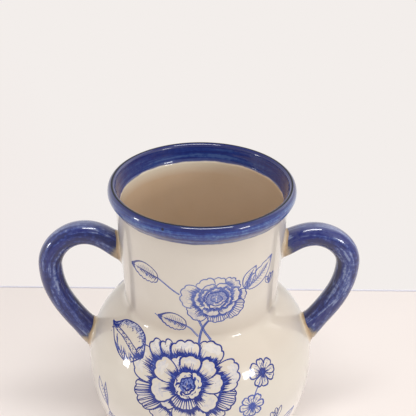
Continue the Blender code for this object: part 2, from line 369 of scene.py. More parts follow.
def turning_rings(tree, shader, depth=0.014, spacing=4.2, in_gloss=True):
    """Shallow rings left by the turning, and a slight unevenness in the glaze. Sizes are in millimetres."""
    here = add(tree, "ShaderNodeTexCoord").outputs["Object"]
    repeat = 1 / (spacing * MM * pi)  # a wave texture of scale 1 repeats about three times in a metre
    rings = add(tree, "ShaderNodeTexWave", {
        "Vector": here, "Scale": repeat, "Distortion": 1.6, "Detail": 1.0, "Detail Scale": 0.6},
        wave_type="BANDS", bands_direction="Z")
    pool = add(tree, "ShaderNodeTexNoise", {"Vector": here, "Scale": 1 / 0.016, "Detail": 2.0})
    height = add(tree, "ShaderNodeMath", {0: pool, 1: 2.4, 2: rings.outputs["Fac"]}, operation="MULTIPLY_ADD")
    bump = add(tree, "ShaderNodeBump", {"Height": height, "Strength": 1.0, "Distance": depth * MM})
    wire(shader, {"Normal": bump})
    if in_gloss:
        wire(shader, {"Coat Normal": bump})


def colour_stops(ramp, stops):
    """Fills a colour ramp from pairs of position and chart colour. Returns the ramp."""
    for position, _ in stops[1:-1]:
        ramp.color_ramp.elements.new(position)
    for element, (position, chart) in zip(ramp.color_ramp.elements, stops):
        element.position, element.color = position, colour(chart)
    return ramp


# %% [markdown]
# ## Cobalt, brushed in streaks
#
# The lip and the handles are painted with a wide brush before the clear glaze: pale where the brush
# ran dry, navy where the colour pooled. Two noises stretched along the stroke give the streaks, and
# a fine grain breaks them up. A colour ramp turns them into four blues, and a higher contrast sets
# the blues closer together on it.

# %% Cobalt streaks
LIP_BLUES = ("#0b1a66", "#1b3786", "#30508f", "#5776ab")
HANDLE_BLUES = ("#0a1456", "#1d2d74", "#3a4a88", "#7480a8")


def cobalt_streaks(tree, vector, blues, contrast):
    fine = add(tree, "ShaderNodeTexNoise", {"Vector": vector, "Scale": 1.0, "Detail": 5.0, "Roughness": 0.6})
    broad = add(tree, "ShaderNodeTexNoise", {"Vector": vector, "Scale": 0.22, "Detail": 1.0})
    both = add(tree, "ShaderNodeMix", {"Factor": 0.42, "A": fine, "B": broad})
    here = add(tree, "ShaderNodeTexCoord").outputs["Object"]
    grain = add(tree, "ShaderNodeTexNoise", {
        "Vector": here, "Scale": 1 / 0.0028, "Detail": 3.0, "Roughness": 0.6})
    mottled = add(tree, "ShaderNodeMix", {"Factor": 0.22, "A": both, "B": grain})
    half = 0.17 / contrast
    places = (0.5 - half, 0.5 - half * 0.3, 0.5 + half * 0.4, 0.5 + half)
    return colour_stops(add(tree, "ShaderNodeValToRGB", {"Fac": mottled}), list(zip(places, blues)))


# %% The cream wall, outside and inside
cream_glaze, cream, cream_shader = glossy_glaze("cream_glaze_over_buff_earthenware")
here = add(cream, "ShaderNodeTexCoord").outputs["Object"]
pooling = add(cream, "ShaderNodeTexNoise", {"Vector": here, "Scale": 1 / 0.030, "Detail": 3.0})
height_here = add(cream, "ShaderNodeSeparateXYZ", {0: here}).outputs["Z"]
share_of_height = add(cream, "ShaderNodeMath", {0: height_here, 1: HEIGHT * MM}, operation="DIVIDE")
# darker on the shoulder and paler low on the belly, by height
tone_by_height = colour_stops(add(cream, "ShaderNodeValToRGB", {"Fac": share_of_height}), [
    (0.25, "#efe9e1"), (0.36, "#dcd6cb"), (0.46, "#d6cfc3"), (0.54, "#cfc4b6"), (0.62, "#d1c7b9"),
    (0.70, "#dad3c8")])
pooled_shade = add(cream, "ShaderNodeMix", {"Factor": pooling, "A": "#f7f7f7", "B": "#ffffff"},
                   data_type="RGBA")
outside_colour = add(cream, "ShaderNodeMix", {"Factor": 1.0, "A": tone_by_height, "B": pooled_shade},
                     data_type="RGBA", blend_type="MULTIPLY")
inside_colour = add(cream, "ShaderNodeMix", {"Factor": pooling, "A": "#caaf90", "B": "#d2b99e"},
                    data_type="RGBA")

# %% [markdown]
# Inside, on the back left, where the light from the front and right falls under the rim, a pale
# patch about 10 mm wide is painted light. cobalt_mm is negative below the cobalt band, so it
# measures that width.

# %% A painted patch of light inside, under the rim
band_mm = add(cream, "ShaderNodeAttribute", attribute_name="cobalt_mm").outputs["Fac"]
lit_side = add(cream, "ShaderNodeVectorMath", {0: here, 1: (-11.0, 13.0, 0.0)}, operation="DOT_PRODUCT")
near_band = add(cream, "ShaderNodeMapRange", {
    "Value": band_mm, "From Min": -10.5, "From Max": -1.0, "To Min": 0.0, "To Max": 0.8})
on_lit_side = add(cream, "ShaderNodeMapRange", {"Value": lit_side, "From Min": 0.1, "From Max": 0.9})
# painted light: the pale patch inside, under the rim, on the lit back-left side
painted_light_patch = add(cream, "ShaderNodeMath", {0: near_band, 1: on_lit_side}, operation="MULTIPLY")
inside_with_painted_light = add(cream, "ShaderNodeMix", {"Factor": painted_light_patch, "A": inside_colour, "B": "#dfd9c8"},
                    data_type="RGBA")
faces_in = add(cream, "ShaderNodeAttribute", attribute_name="inside").outputs["Fac"]
wall_colour = add(cream, "ShaderNodeMix", {"Factor": faces_in, "A": outside_colour, "B": inside_with_painted_light},
                  data_type="RGBA")

# %% [markdown]
# The cream shader also holds the cobalt band, because the brush does not stop exactly where one
# turned piece ends: the band's edge follows cobalt_mm with a small hand's wobble. The streaks run
# round the rim, so their place is stretched round it and squeezed up it. Colour pools along the
# band's edge, and the blue is darker inside the rim.

# %% The cobalt band
along_band = add(cream, "ShaderNodeAttribute", attribute_name="along_mm").outputs["Fac"]
hand = add(cream, "ShaderNodeTexNoise", {"Vector": here, "Scale": 1 / 0.012, "Detail": 2.0})
wobble = add(cream, "ShaderNodeMath", {0: hand, 1: 1.6, 2: -0.8}, operation="MULTIPLY_ADD")
brushed_to = add(cream, "ShaderNodeMath", {0: band_mm, 1: wobble}, operation="ADD")
in_band = add(cream, "ShaderNodeMapRange", {"Value": brushed_to, "From Min": -0.5, "From Max": 0.6},
              interpolation_type="SMOOTHSTEP")
flat_place = add(cream, "ShaderNodeVectorMath", {0: here, 1: (38.0, 38.0, 0.0)}, operation="MULTIPLY")
up_the_band = add(cream, "ShaderNodeCombineXYZ", {"Z": along_band})
scaled_up = add(cream, "ShaderNodeVectorMath", {0: up_the_band, 1: (0.0, 0.0, 0.9)}, operation="MULTIPLY")
round_the_band = add(cream, "ShaderNodeVectorMath", {0: flat_place, 1: scaled_up}, operation="ADD")
streaks = cobalt_streaks(cream, round_the_band, LIP_BLUES, contrast=2.1)
# the blue is darker inside the rim
darker_inside = add(cream, "ShaderNodeMath", {0: faces_in, 1: 0.62}, operation="MULTIPLY")
pooled_edge = add(cream, "ShaderNodeMapRange", {
    "Value": brushed_to, "From Min": 0.2, "From Max": 2.2, "To Min": 0.75, "To Max": 0.0})
band_colour = streaks
for cover, chart in ((darker_inside, "#122264"), (pooled_edge, "#2b2f63")):
    band_colour = add(cream, "ShaderNodeMix", {"Factor": cover, "A": band_colour, "B": chart},
                      data_type="RGBA")
banded = add(cream, "ShaderNodeMix", {"Factor": in_band, "A": wall_colour, "B": band_colour},
             data_type="RGBA")

# %% [markdown]
# Three things lie over the band. The blue is darker towards the crown. Along the crown itself a
# thin, nearly black line without gloss is painted: a painted dark reflection of a dark part of the
# room. And a grain of iron in the clay burnt through as one small dark speck on the front.

# %% The crown and the iron speck
SPECK_TURN, SPECK_RADIUS, SPECK_DROP = radians(-22.4), 68.0, 3.3
speck_place = MM * Vector((
    SPECK_RADIUS * sin(SPECK_TURN), -SPECK_RADIUS * cos(SPECK_TURN), HEIGHT - SPECK_DROP))
# the blue is darker towards the crown
darker_to_crown = add(cream, "ShaderNodeMapRange", {
    "Value": height_here, "From Min": (HEIGHT - 4.0) * MM, "From Max": (HEIGHT - 0.9) * MM,
    "To Min": 0.0, "To Max": 0.9})
# painted dark reflection: a nearly black line along the crown, with the gloss taken off there
painted_dark_reflection = add(cream, "ShaderNodeMapRange", {
    "Value": height_here, "From Min": (HEIGHT - 0.16) * MM, "From Max": (HEIGHT - 0.05) * MM,
    "To Min": 0.0, "To Max": 1.0})
to_speck = add(cream, "ShaderNodeVectorMath", {0: here, 1: speck_place}, operation="DISTANCE")
iron_speck = add(cream, "ShaderNodeMapRange", {
    "Value": to_speck, "From Min": 0.7 * MM, "From Max": 1.3 * MM, "To Min": 1.0, "To Max": 0.0})
for cover, chart in ((darker_to_crown, "#0c1458"), (painted_dark_reflection, "#0b1014"), (iron_speck, "#0a0f30")):
    banded = add(cream, "ShaderNodeMix", {"Factor": cover, "A": banded, "B": chart}, data_type="RGBA")
glassy = add(cream, "ShaderNodeMath", {0: 1.0, 1: painted_dark_reflection}, operation="SUBTRACT")
wire(cream_shader, {"Base Color": banded, "Coat Weight": glassy})
turning_rings(cream, cream_shader)
print("cream glaze nodes:", len(cream.nodes))

# %% [markdown]
# ## Belly, neck and lip
#
# Each thrown piece is turned on its own, as the potter threw it. The seams are placed where the
# wall runs straight, a little above the crease and a little below the lip, so the glaze looks
# unbroken across them, as it is on the fired pot. The lip is a rolled crown with a bulge outside
# and a funnel inside.

# %% Turn the belly
def belly_outline():
    """The wall and the underside, then the floor and the inside, as two lines."""
    bore, bore_level = CREASE_RADIUS - NECK_WALL, CREASE_LEVEL - BORE_DEPTH
    line = [p for p in wall_line if p[1] <= NECK_SEAM + 0.01]
    line += bend((lower_radius(FOOT_TOP + TURN_IN), FOOT_TOP + TURN_IN), (FOOT_RADIUS + 1.2, FOOT_TOP),
                 (FOOT_RADIUS - 1.0, FOOT_TOP), 6)[1:]
    line += [(0.0, FOOT_TOP)]

    def cavity(z):
        return lower_radius(z, BELLY_RADIUS - BELLY_WALL, CAVITY_HALF_HEIGHT)

    foot_of_wall = FLOOR_LEVEL + TURN_IN
    inner = [(0.0, FLOOR_LEVEL), (30.0, FLOOR_LEVEL)]
    inner += bend((44.0, FLOOR_LEVEL), (49.0, FLOOR_LEVEL), (cavity(foot_of_wall), foot_of_wall), 5)
    inner += [(cavity(z), z) for z in spread(foot_of_wall, BELLY_LEVEL, 40)[1:]]
    inner += [(shoulder_radius(z, BELLY_RADIUS - BELLY_WALL, (bore, bore_level)), z)
              for z in spread(BELLY_LEVEL, bore_level, 30)[1:]]
    inner += [(bore, z) for z in spread(bore_level, CREASE_LEVEL, 4)[1:]]
    inner += [(bore + (NECK_SEAM - CREASE_LEVEL) * 0.07, NECK_SEAM)]
    return line, inner


outer_part, inner_part = belly_outline()
belly = turned("thrown_belly", outer_part + inner_part, cream_glaze,
               inside=lambda i, p: len(outer_part) <= i < len(outer_part) + len(inner_part))


# %% Turn the neck
def neck_inside(z):
    return neck_radius(z, CREASE_RADIUS - NECK_WALL, MOUTH_RADIUS)


def band_from(inner_radius):
    """A rule for how far a point lies in the cobalt band, which starts a little higher inside the rim."""
    return lambda point: point[1] - LIP_BOTTOM - (FUNNEL_FOOT if point[0] < inner_radius else 0.0)


neck_out = [p for p in wall_line if p[1] >= NECK_SEAM - 0.01]
neck_in = [(neck_inside(z), z) for z in spread(NECK_SEAM, LIP_SEAM, 40)]
neck = turned("thrown_neck", neck_out + neck_in, cream_glaze, band_from(NECK_TOP_RADIUS - 3),
              inside=lambda i, p: len(neck_out) <= i < len(neck_out) + len(neck_in))


# %% Turn the lip
def lip_outline():
    line = [(neck_radius(LIP_SEAM), LIP_SEAM)]
    for t in spread(0, 1, 24):  # up from the neck to the bulge, hollow at first and then full
        line.append((NECK_TOP_RADIUS + (LIP_RADIUS - NECK_TOP_RADIUS) * sin(pi / 2 * t**0.72) ** 2,
                     LIP_BOTTOM + (LIP_BULGE - LIP_BOTTOM) * t))
    for a in map(radians, spread(0, 90, 16)[1:]):  # over the bulge to the crown
        line.append((CROWN_RADIUS + (LIP_RADIUS - CROWN_RADIUS) * cos(a),
                     LIP_BULGE + (HEIGHT - LIP_BULGE) * sin(a)))
    for a in map(radians, spread(90, 162, 10)[1:]):  # and down its inner side
        line.append((CROWN_RADIUS + CROWN_ROUND * cos(a), HEIGHT - CROWN_ROUND + CROWN_ROUND * sin(a)))
    foot_of_funnel = (MOUTH_RADIUS, LIP_BOTTOM + FUNNEL_FOOT)
    ledge = (foot_of_funnel[0] + 0.9, foot_of_funnel[1] + 0.7)
    line += bend(line[-1], (ledge[0] + 0.9, ledge[1] + 2.0), ledge, 14)[1:]
    return line + bend(ledge, foot_of_funnel, (neck_inside(LIP_SEAM), LIP_SEAM), 6)[1:]


lip = turned("rolled_lip", lip_outline(), cream_glaze, band_from(CROWN_RADIUS - 2),
             inside=lambda i, p: p[0] < CROWN_RADIUS - 2)

# %% [markdown]
# ## Foot ring
#
# The ring that the vase stands on is wiped clean of glaze before firing, or the pot would melt on
# to the kiln shelf. So it is bare clay: matt and a little sandy, and cream glaze only begins above
# it. Its grit is really under half a millimetre and is drawn about 1 mm coarse, or it would not
# show.

# %% Bare clay and the foot
bare_clay, clay, clay_shader = new_finish("bare_buff_earthenware", {"Roughness": 0.85})
here = add(clay, "ShaderNodeTexCoord").outputs["Object"]
grog = add(clay, "ShaderNodeTexNoise", {"Vector": here, "Scale": 1 / 0.0012, "Detail": 4.0, "Roughness": 0.7})
clay_colour = add(clay, "ShaderNodeMix", {"Factor": grog, "A": "#b79c7c", "B": "#d3bea3"}, data_type="RGBA")
grit = add(clay, "ShaderNodeBump", {"Height": grog, "Strength": 0.6, "Distance": 0.2 * MM})
wire(clay_shader, {"Base Color": clay_colour, "Normal": grit})


def foot_outline():
    """The ring, whose top is set a little way into the underside of the belly."""
    outer, inner, hidden_top = FOOT_RADIUS, FOOT_RADIUS - FOOT_WALL, FOOT_TOP + 0.6
    line = bend((outer - 0.4, hidden_top), (outer - 0.6, FOOT_TOP - 1.5), (outer, FOOT_TOP - 3.5), 5)
    line += bend((outer, FOOT_ROUND), (outer, 0.0), (outer - FOOT_ROUND, 0.0), 6)
    line += bend((inner + FOOT_ROUND, 0.0), (inner, 0.0), (inner, FOOT_ROUND), 6)
    return line + [(inner - 0.4, hidden_top)]


foot = turned("trimmed_foot_ring", foot_outline(), bare_clay)

# %% [markdown]
# ## Pulled handles
#
# A handle is a round coil of clay, pulled long and bent into a loop by hand, so its two sides are
# never quite alike. Its path is a curve through four knots. A Geometry Nodes tree sweeps a round
# section along the path, lets it swell a little where the potter's fingers squeezed it, and stores
# what the brushed cobalt needs: the distance from the nearer end, the distance along, and the place
# round the section.

# %% The handles' paths
HANDLE_HALF = 9.0
JOINT_HALF = 9.9
BEND_PULL = 0.37   # length of each knot's tangent, as a share of the distance to the next knot
SUNK_ENDS = 2.0    # both ends reach this far into the wall
JOINTS = {  # height on the wall and slope from level, in degrees, of each end of each handle
    "left": {"side": -1, "neck": (183.8, 31), "belly": (104.5, 51), "crest_mm": 86.9, "widest_level": 166.8},
    "right": {"side": 1, "neck": (187.8, 26), "belly": (110.9, 55), "crest_mm": 84.5, "widest_level": 171.6},
}


def knots(side):
    """The loop's knots on its own side, as place and direction in (x, z), from the neck to the belly."""
    shape = JOINTS[side]
    low, high = [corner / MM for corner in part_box(side + "_handle")]
    reach = max(abs(low.x), abs(high.x)) - HANDLE_HALF
    (neck_level, neck_slope), (belly_level, belly_slope) = shape["neck"], shape["belly"]
    up, down = radians(neck_slope), radians(belly_slope)
    return [
        (Vector((wall_radius(neck_level), neck_level)), Vector((cos(up), sin(up)))),
        (Vector((shape["crest_mm"], high.z - HANDLE_HALF)), Vector((1, 0))),
        (Vector((reach, shape["widest_level"])), Vector((0, -1))),
        (Vector((wall_radius(belly_level), belly_level)), Vector((-cos(down), -sin(down)))),
    ]


def loop_path(side, steps=28):
    """Points along the loop, with both ends sunk a little into the wall."""
    path = knots(side)
    points = [path[0][0] - path[0][1] * SUNK_ENDS]
    for (a, a_way), (b, b_way) in zip(path, path[1:]):
        pull = (b - a).length * BEND_PULL
        for t in spread(0, 1, steps)[0 if len(points) == 1 else 1:]:
            points.append((1 - t) ** 3 * a + 3 * (1 - t) ** 2 * t * (a + a_way * pull)
                          + 3 * (1 - t) * t * t * (b - b_way * pull) + t**3 * b)
    points.append(path[-1][0] + path[-1][1] * SUNK_ENDS)
    return [(JOINTS[side]["side"] * p.x, p.y) for p in points]


print("left handle's path has", len(loop_path("left")), "points")

# %% The tree that pulls a handle
pulling, given, result = new_tree("pull a handle", {
    "Half Thickness": "Float", "Joint Half Thickness": "Float", "Swelling Length": "Float",
    "Squeeze": "Float", "Seed": "Float", "Material": "Material"})
path = add(pulling, "GeometryNodeMeshToCurve", {"Mesh": given.outputs["Geometry"]})
length_here = add(pulling, "GeometryNodeSplineParameter").outputs["Length"]
total = add(pulling, "GeometryNodeSplineLength")
left_over = add(pulling, "ShaderNodeMath", {0: total, 1: length_here}, operation="SUBTRACT")
to_end = add(pulling, "ShaderNodeMath", {0: length_here, 1: left_over}, operation="MINIMUM")
half = add(pulling, "ShaderNodeMapRange", {
    "Value": to_end, "From Min": 0.0, "From Max": given.outputs["Swelling Length"],
    "To Min": given.outputs["Joint Half Thickness"], "To Max": given.outputs["Half Thickness"]},
    interpolation_type="SMOOTHSTEP")
for label, metres in (("end_mm", to_end), ("along_mm", length_here)):
    in_mm = add(pulling, "ShaderNodeMath", {0: metres, 1: 1 / MM}, operation="MULTIPLY")
    path = add(pulling, "GeometryNodeStoreNamedAttribute", {"Geometry": path, "Name": label, "Value": in_mm},
               data_type="FLOAT", domain="POINT")
ring = add(pulling, "GeometryNodeCurvePrimitiveCircle", {"Resolution": 48, "Radius": 1.0})
place = add(pulling, "GeometryNodeInputPosition")
section = add(pulling, "GeometryNodeStoreNamedAttribute", {"Geometry": ring, "Name": "girth"},
              data_type="FLOAT_VECTOR", domain="POINT")
wire(section, {"Value": place})
coil = add(pulling, "GeometryNodeCurveToMesh", {
    "Curve": path, "Profile Curve": section, "Scale": half, "Fill Caps": True})
seeded = add(pulling, "ShaderNodeTexNoise", {
    "Vector": place, "W": given.outputs["Seed"], "Scale": 1 / 0.024, "Detail": 1.0}, noise_dimensions="4D")
centred = add(pulling, "ShaderNodeMath", {0: seeded, 1: 0.5}, operation="SUBTRACT")
squeeze = add(pulling, "ShaderNodeMath", {0: centred, 1: given.outputs["Squeeze"]}, operation="MULTIPLY")
normal = add(pulling, "GeometryNodeInputNormal")
pushed = add(pulling, "ShaderNodeVectorMath", {0: normal, "Scale": squeeze}, operation="SCALE")
hand_made = add(pulling, "GeometryNodeSetPosition", {"Geometry": coil, "Offset": pushed})
end_tree(pulling, hand_made, given, result)

# %% [markdown]
# ## Cobalt brushed along the handles
#
# The painter loads a wide brush with cobalt and draws it along the loop in a few strokes. The
# pattern is noise stretched along the path: about 3 mm wide round the section and 20 mm long. girth
# is the place on a section of half thickness 1, and a shift along x gives the two handles streaks
# of their own.

# %% Streaks along the loop
cobalt_glaze, cobalt, cobalt_shader = glossy_glaze("brushed_cobalt_under_clear_glaze")
along = add(cobalt, "ShaderNodeAttribute", attribute_name="along_mm").outputs["Fac"]
girth = add(cobalt, "ShaderNodeAttribute", attribute_name="girth").outputs["Vector"]
ends = add(cobalt, "ShaderNodeAttribute", attribute_name="end_mm").outputs["Fac"]
here = add(cobalt, "ShaderNodeTexCoord").outputs["Object"]
side_shift = add(cobalt, "ShaderNodeVectorMath", {0: here, 1: (-9.0, 0.0, 0.0)}, operation="MULTIPLY")
round_section = add(cobalt, "ShaderNodeVectorMath", {0: girth, 1: (3.4, 3.4, 3.4), 2: side_shift},
                    operation="MULTIPLY_ADD")
along_share = add(cobalt, "ShaderNodeMath", {0: along, 1: 0.050}, operation="MULTIPLY")
along_vector = add(cobalt, "ShaderNodeCombineXYZ", {"Z": along_share})
stroke_place = add(cobalt, "ShaderNodeVectorMath", {0: round_section, 1: along_vector}, operation="ADD")
handle_streaks = cobalt_streaks(cobalt, stroke_place, HANDLE_BLUES, contrast=2.8)

# %% [markdown]
# Four things change the streaks. Where two strokes cross, the blue is navy, with a fairly sharp
# edge. On the side that faces the opening, in the shade between handle and wall, broken nearly
# black streaks are painted shade. The top, which faces up and back, is painted pale grey: a painted
# reflection of the pale room. And each stroke stops short of the slip, in a ragged edge where clay
# shows.

# %% Crossings, painted shade on the inner side, a painted reflection on the top, and the ragged ends
crossing = add(cobalt, "ShaderNodeTexNoise", {"Vector": stroke_place, "Scale": 0.45, "Detail": 2.0})
twice_brushed = add(cobalt, "ShaderNodeMapRange", {
    "Value": crossing, "From Min": 0.55, "From Max": 0.58, "To Min": 0.0, "To Max": 0.85})
facing = add(cobalt, "ShaderNodeNewGeometry").outputs["Normal"]
sideways = add(cobalt, "ShaderNodeVectorMath", {0: facing, 1: here}, operation="MULTIPLY")
to_opening = add(cobalt, "ShaderNodeSeparateXYZ", {0: sideways}).outputs["X"]
# painted shade: the side that faces the opening, between handle and wall, is darkened
shaded_side = add(cobalt, "ShaderNodeMapRange", {
    "Value": to_opening, "From Min": -0.050, "From Max": -0.080, "To Min": 0.0, "To Max": 0.7},
    interpolation_type="SMOOTHSTEP")
run_noise = add(cobalt, "ShaderNodeTexNoise", {"Vector": stroke_place, "Scale": 0.9, "Detail": 3.0})
runs = add(cobalt, "ShaderNodeMapRange", {
    "Value": run_noise, "From Min": 0.42, "From Max": 0.55, "To Min": 0.15, "To Max": 1.0})
painted_shade_streaks = add(cobalt, "ShaderNodeMath", {0: shaded_side, 1: runs}, operation="MULTIPLY")
up_and_back = add(cobalt, "ShaderNodeVectorMath", {0: facing, 1: (0.0, 0.35, 0.94)}, operation="DOT_PRODUCT")
# painted reflection: the top, facing up and back, is turned pale grey
painted_reflection_top = add(cobalt, "ShaderNodeMapRange", {
    "Value": up_and_back, "From Min": 0.42, "From Max": 0.86, "To Min": 0.0, "To Max": 0.6},
    interpolation_type="SMOOTHSTEP")
brushed = handle_streaks
for cover, chart in ((twice_brushed, "#0c1666"), (painted_shade_streaks, "#14172c"), (painted_reflection_top, "#777b96")):
    brushed = add(cobalt, "ShaderNodeMix", {"Factor": cover, "A": brushed, "B": chart}, data_type="RGBA")
ragged = add(cobalt, "ShaderNodeTexNoise", {"Vector": stroke_place, "Scale": 1.3, "Detail": 2.0})
brush_end = add(cobalt, "ShaderNodeMath", {0: ragged, 1: -8.0, 2: ends}, operation="MULTIPLY_ADD")
painted = add(cobalt, "ShaderNodeMapRange", {"Value": brush_end, "From Min": 1.5, "From Max": 6.0},
              interpolation_type="SMOOTHSTEP")
at_end = add(cobalt, "ShaderNodeMapRange", {"Value": brush_end, "From Min": -0.6, "From Max": 3.4})
thin_end = add(cobalt, "ShaderNodeMix", {"Factor": at_end, "A": "#ab9678", "B": "#434a60"}, data_type="RGBA")
handle_colour = add(cobalt, "ShaderNodeMix", {"Factor": painted, "A": thin_end, "B": brushed},
                    data_type="RGBA")
wire(cobalt_shader, {"Base Color": handle_colour})
turning_rings(cobalt, cobalt_shader, depth=0.04, spacing=9.0, in_gloss=False)

# %% Pull the two handles
handles = {}
for number, side in enumerate(JOINTS):
    carrier = outline_object(side + "_path", loop_path(side))
    handles[side] = made_by(pulling, carrier, side + "_pulled_handle", {
        "Half Thickness": HANDLE_HALF * MM, "Joint Half Thickness": JOINT_HALF * MM,
        "Swelling Length": 18.0 * MM, "Squeeze": 0.7 * MM, "Seed": 3.0 + number, "Material": cobalt_glaze})
    face_outwards(handles[side].data)
    print(side, "handle faces:", len(handles[side].data.polygons))

# %% [markdown]
# ## Slip at the joints
#
# Each end of a handle is scored, wetted with slip and pressed on, and the slip that squeezes out is
# smoothed into a little fillet with a finger. It takes the glaze thinly, so the buff clay shows
# through. A fillet follows both the handle's section and the curved wall, and no primitive does
# that, so it is lofted: for every direction round the handle a soft bend runs from the handle's
# side, through the corner, out on to the wall.

# %% Thin glaze on slip
thin_glaze, thin, thin_shader = glossy_glaze("thin_glaze_on_slip", coat_roughness=0.06)
up_handle = add(thin, "ShaderNodeAttribute", attribute_name="up_handle").outputs["Fac"]
here = add(thin, "ShaderNodeTexCoord").outputs["Object"]
smear = add(thin, "ShaderNodeTexNoise", {"Vector": here, "Scale": 1 / 0.006, "Detail": 3.0})
uneven = add(thin, "ShaderNodeMath", {0: smear, 1: 0.5, 2: up_handle}, operation="MULTIPLY_ADD")
slip_ramp = colour_stops(add(thin, "ShaderNodeValToRGB", {"Fac": uneven}), [
    (0.22, "#d9d1c5"), (0.50, "#cbbba2"), (0.85, "#b09474"), (0.9583, "#968874")])
wire(thin_shader, {"Base Color": slip_ramp})
turning_rings(thin, thin_shader, depth=0.06, spacing=6.0)


# %% Loft a fillet
AROUND_HANDLE, ALONG_BEND = 72, 10
UP_THE_HANDLE, ON_THE_WALL = 3.4, 3.0  # how far the slip is smoothed out, in millimetres
SLIP_SINK = 0.08                       # its edge lies this far under the wall's surface
CLEAR_OF_WALL = 30.0                   # a point this far out along the handle is outside the wall
BUFF_AT_TOP = 0.7                      # up_handle where the slip ends on the handle, and 0 on the wall


def drop_on_wall(point, inward):
    """Moves a point along a direction until it meets the wall, by halving the step."""
    near, far = 0.0, 60.0
    for _ in range(40):
        middle = (near + far) / 2
        p = point + inward * middle
        outside = hypot(p.x, p.y) > wall_radius(p.z)
        near, far = (middle, far) if outside else (near, middle)
    return point + inward * near


def slip_rings(side, end, seed):
    """Rings of points from the handle's side down and out on to the wall."""
    place, way = knots(side)[0 if end == "neck" else -1]
    out = way if end == "neck" else -way
    mirror = JOINTS[side]["side"]
    centre, axis = Vector((mirror * place.x, 0, place.y)), Vector((mirror * out.x, 0, out.y))
    across, upright = Vector((0, 1, 0)), axis.cross(Vector((0, 1, 0)))
    hand = random.Random(seed)
    phases = [hand.uniform(0, 2 * pi) for _ in range(2)]
    columns = []
    for k in range(AROUND_HANDLE):
        a = 2 * pi * k / AROUND_HANDLE
        from_axis = across * cos(a) + upright * sin(a)
        uneven = 1 + 0.16 * sin(2 * a + phases[0]) + 0.10 * sin(5 * a + phases[1])
        corner = drop_on_wall(centre + from_axis * (JOINT_HALF - 0.1) + axis * CLEAR_OF_WALL, -axis)
        start = corner + axis * UP_THE_HANDLE * uneven
        last = drop_on_wall(corner + from_axis * ON_THE_WALL * uneven + axis * 25, -axis) - axis * SLIP_SINK
        columns.append(bend(start, corner, last, ALONG_BEND))
    return list(zip(*columns))


def slip_fillet(name, rings):
    """The worked slip round one end of a handle, as one closed piece."""
    shape = bmesh.new()
    layer = shape.verts.layers.float.new("up_handle")
    made = []
    for i, ring_points in enumerate(rings):
        made.append([shape.verts.new(Vector(p) * MM) for p in ring_points])
        for vertex in made[-1]:
            vertex[layer] = BUFF_AT_TOP * (1 - i / ALONG_BEND)
    for lower, upper in zip(made, made[1:]):
        for k in range(AROUND_HANDLE):
            after = (k + 1) % AROUND_HANDLE
            shape.faces.new((lower[k], lower[after], upper[after], upper[k]))
    shape.faces.new(made[0])
    shape.faces.new(made[-1])
    mesh = bpy.data.meshes.new(name)
    shape.to_mesh(mesh)
    shape.free()
    mesh.materials.append(thin_glaze)
    face_outwards(mesh, sharp_over=60)
    return show(name, mesh)


fillets = {}
for number, (side, end) in enumerate([(s, e) for s in JOINTS for e in ("neck", "belly")]):
    fillets[side, end] = slip_fillet(f"{side}_{end}_slip", slip_rings(side, end, seed=11 + number))
print("fillets:", [piece.name for piece in fillets.values()])

# %% [markdown]
# ## Line drawing in cobalt
#
# The flowers are drawn with a fine pointed brush or pen in cobalt, under the glaze: outlines up to
# a millimetre wide, rows of short hatching where petals overlap, stippling on the buds, and a thin
# wash in the hearts. The lines could be an image or a shader pattern. Here each stroke is a thin
# ribbon of its own, because a stroke drawn as geometry stays crisp at any distance and is a real
# shape in the mesh.
#
# A drawing is made flat first, in millimetres: x goes round the pot and y goes up along the wall,
# from the crease. Each stroke keeps its half width, its tone from pale to dark, and its lift over
# the wall on its points.

# %% Strokes on the flat sheet
NIB = 1.22             # every stroke is this much wider than its own width says, as ink spreads in the glaze
THINNEST = 0.09        # half width of the thinnest stroke, in millimetres
LIFT, LIFT_STEPS = 0.045, 0.035  # strokes lie this far over the wall, at slightly different levels
GOLDEN = 0.618         # steps of this share never fall into a pattern
FADING_OVER = 14       # millimetres over which a fading motif loses its tone


def smooth_path(points, step=1.1):
    """A Catmull-Rom curve through a few given points, with a point about every step."""
    if len(points) < 3:
        (x0, y0), (x1, y1) = points
        count = max(1, round(hypot(x1 - x0, y1 - y0) / step))
        return [(x0 + (x1 - x0) * t, y0 + (y1 - y0) * t) for t in spread(0, 1, count)]
    padded = [points[0]] + list(points) + [points[-1]]
    line = [points[0]]
    for a, b, c, d in zip(padded, padded[1:], padded[2:], padded[3:]):
        count = max(1, round(hypot(c[0] - b[0], c[1] - b[1]) / step))
        for t in spread(0, 1, count)[1:]:
            line.append(tuple(0.5 * (2 * q + (r - p) * t + (2 * p - 5 * q + 4 * r - s) * t * t
                                     + (3 * q - p - 3 * r + s) * t**3) for p, q, r, s in zip(a, b, c, d)))
    return line


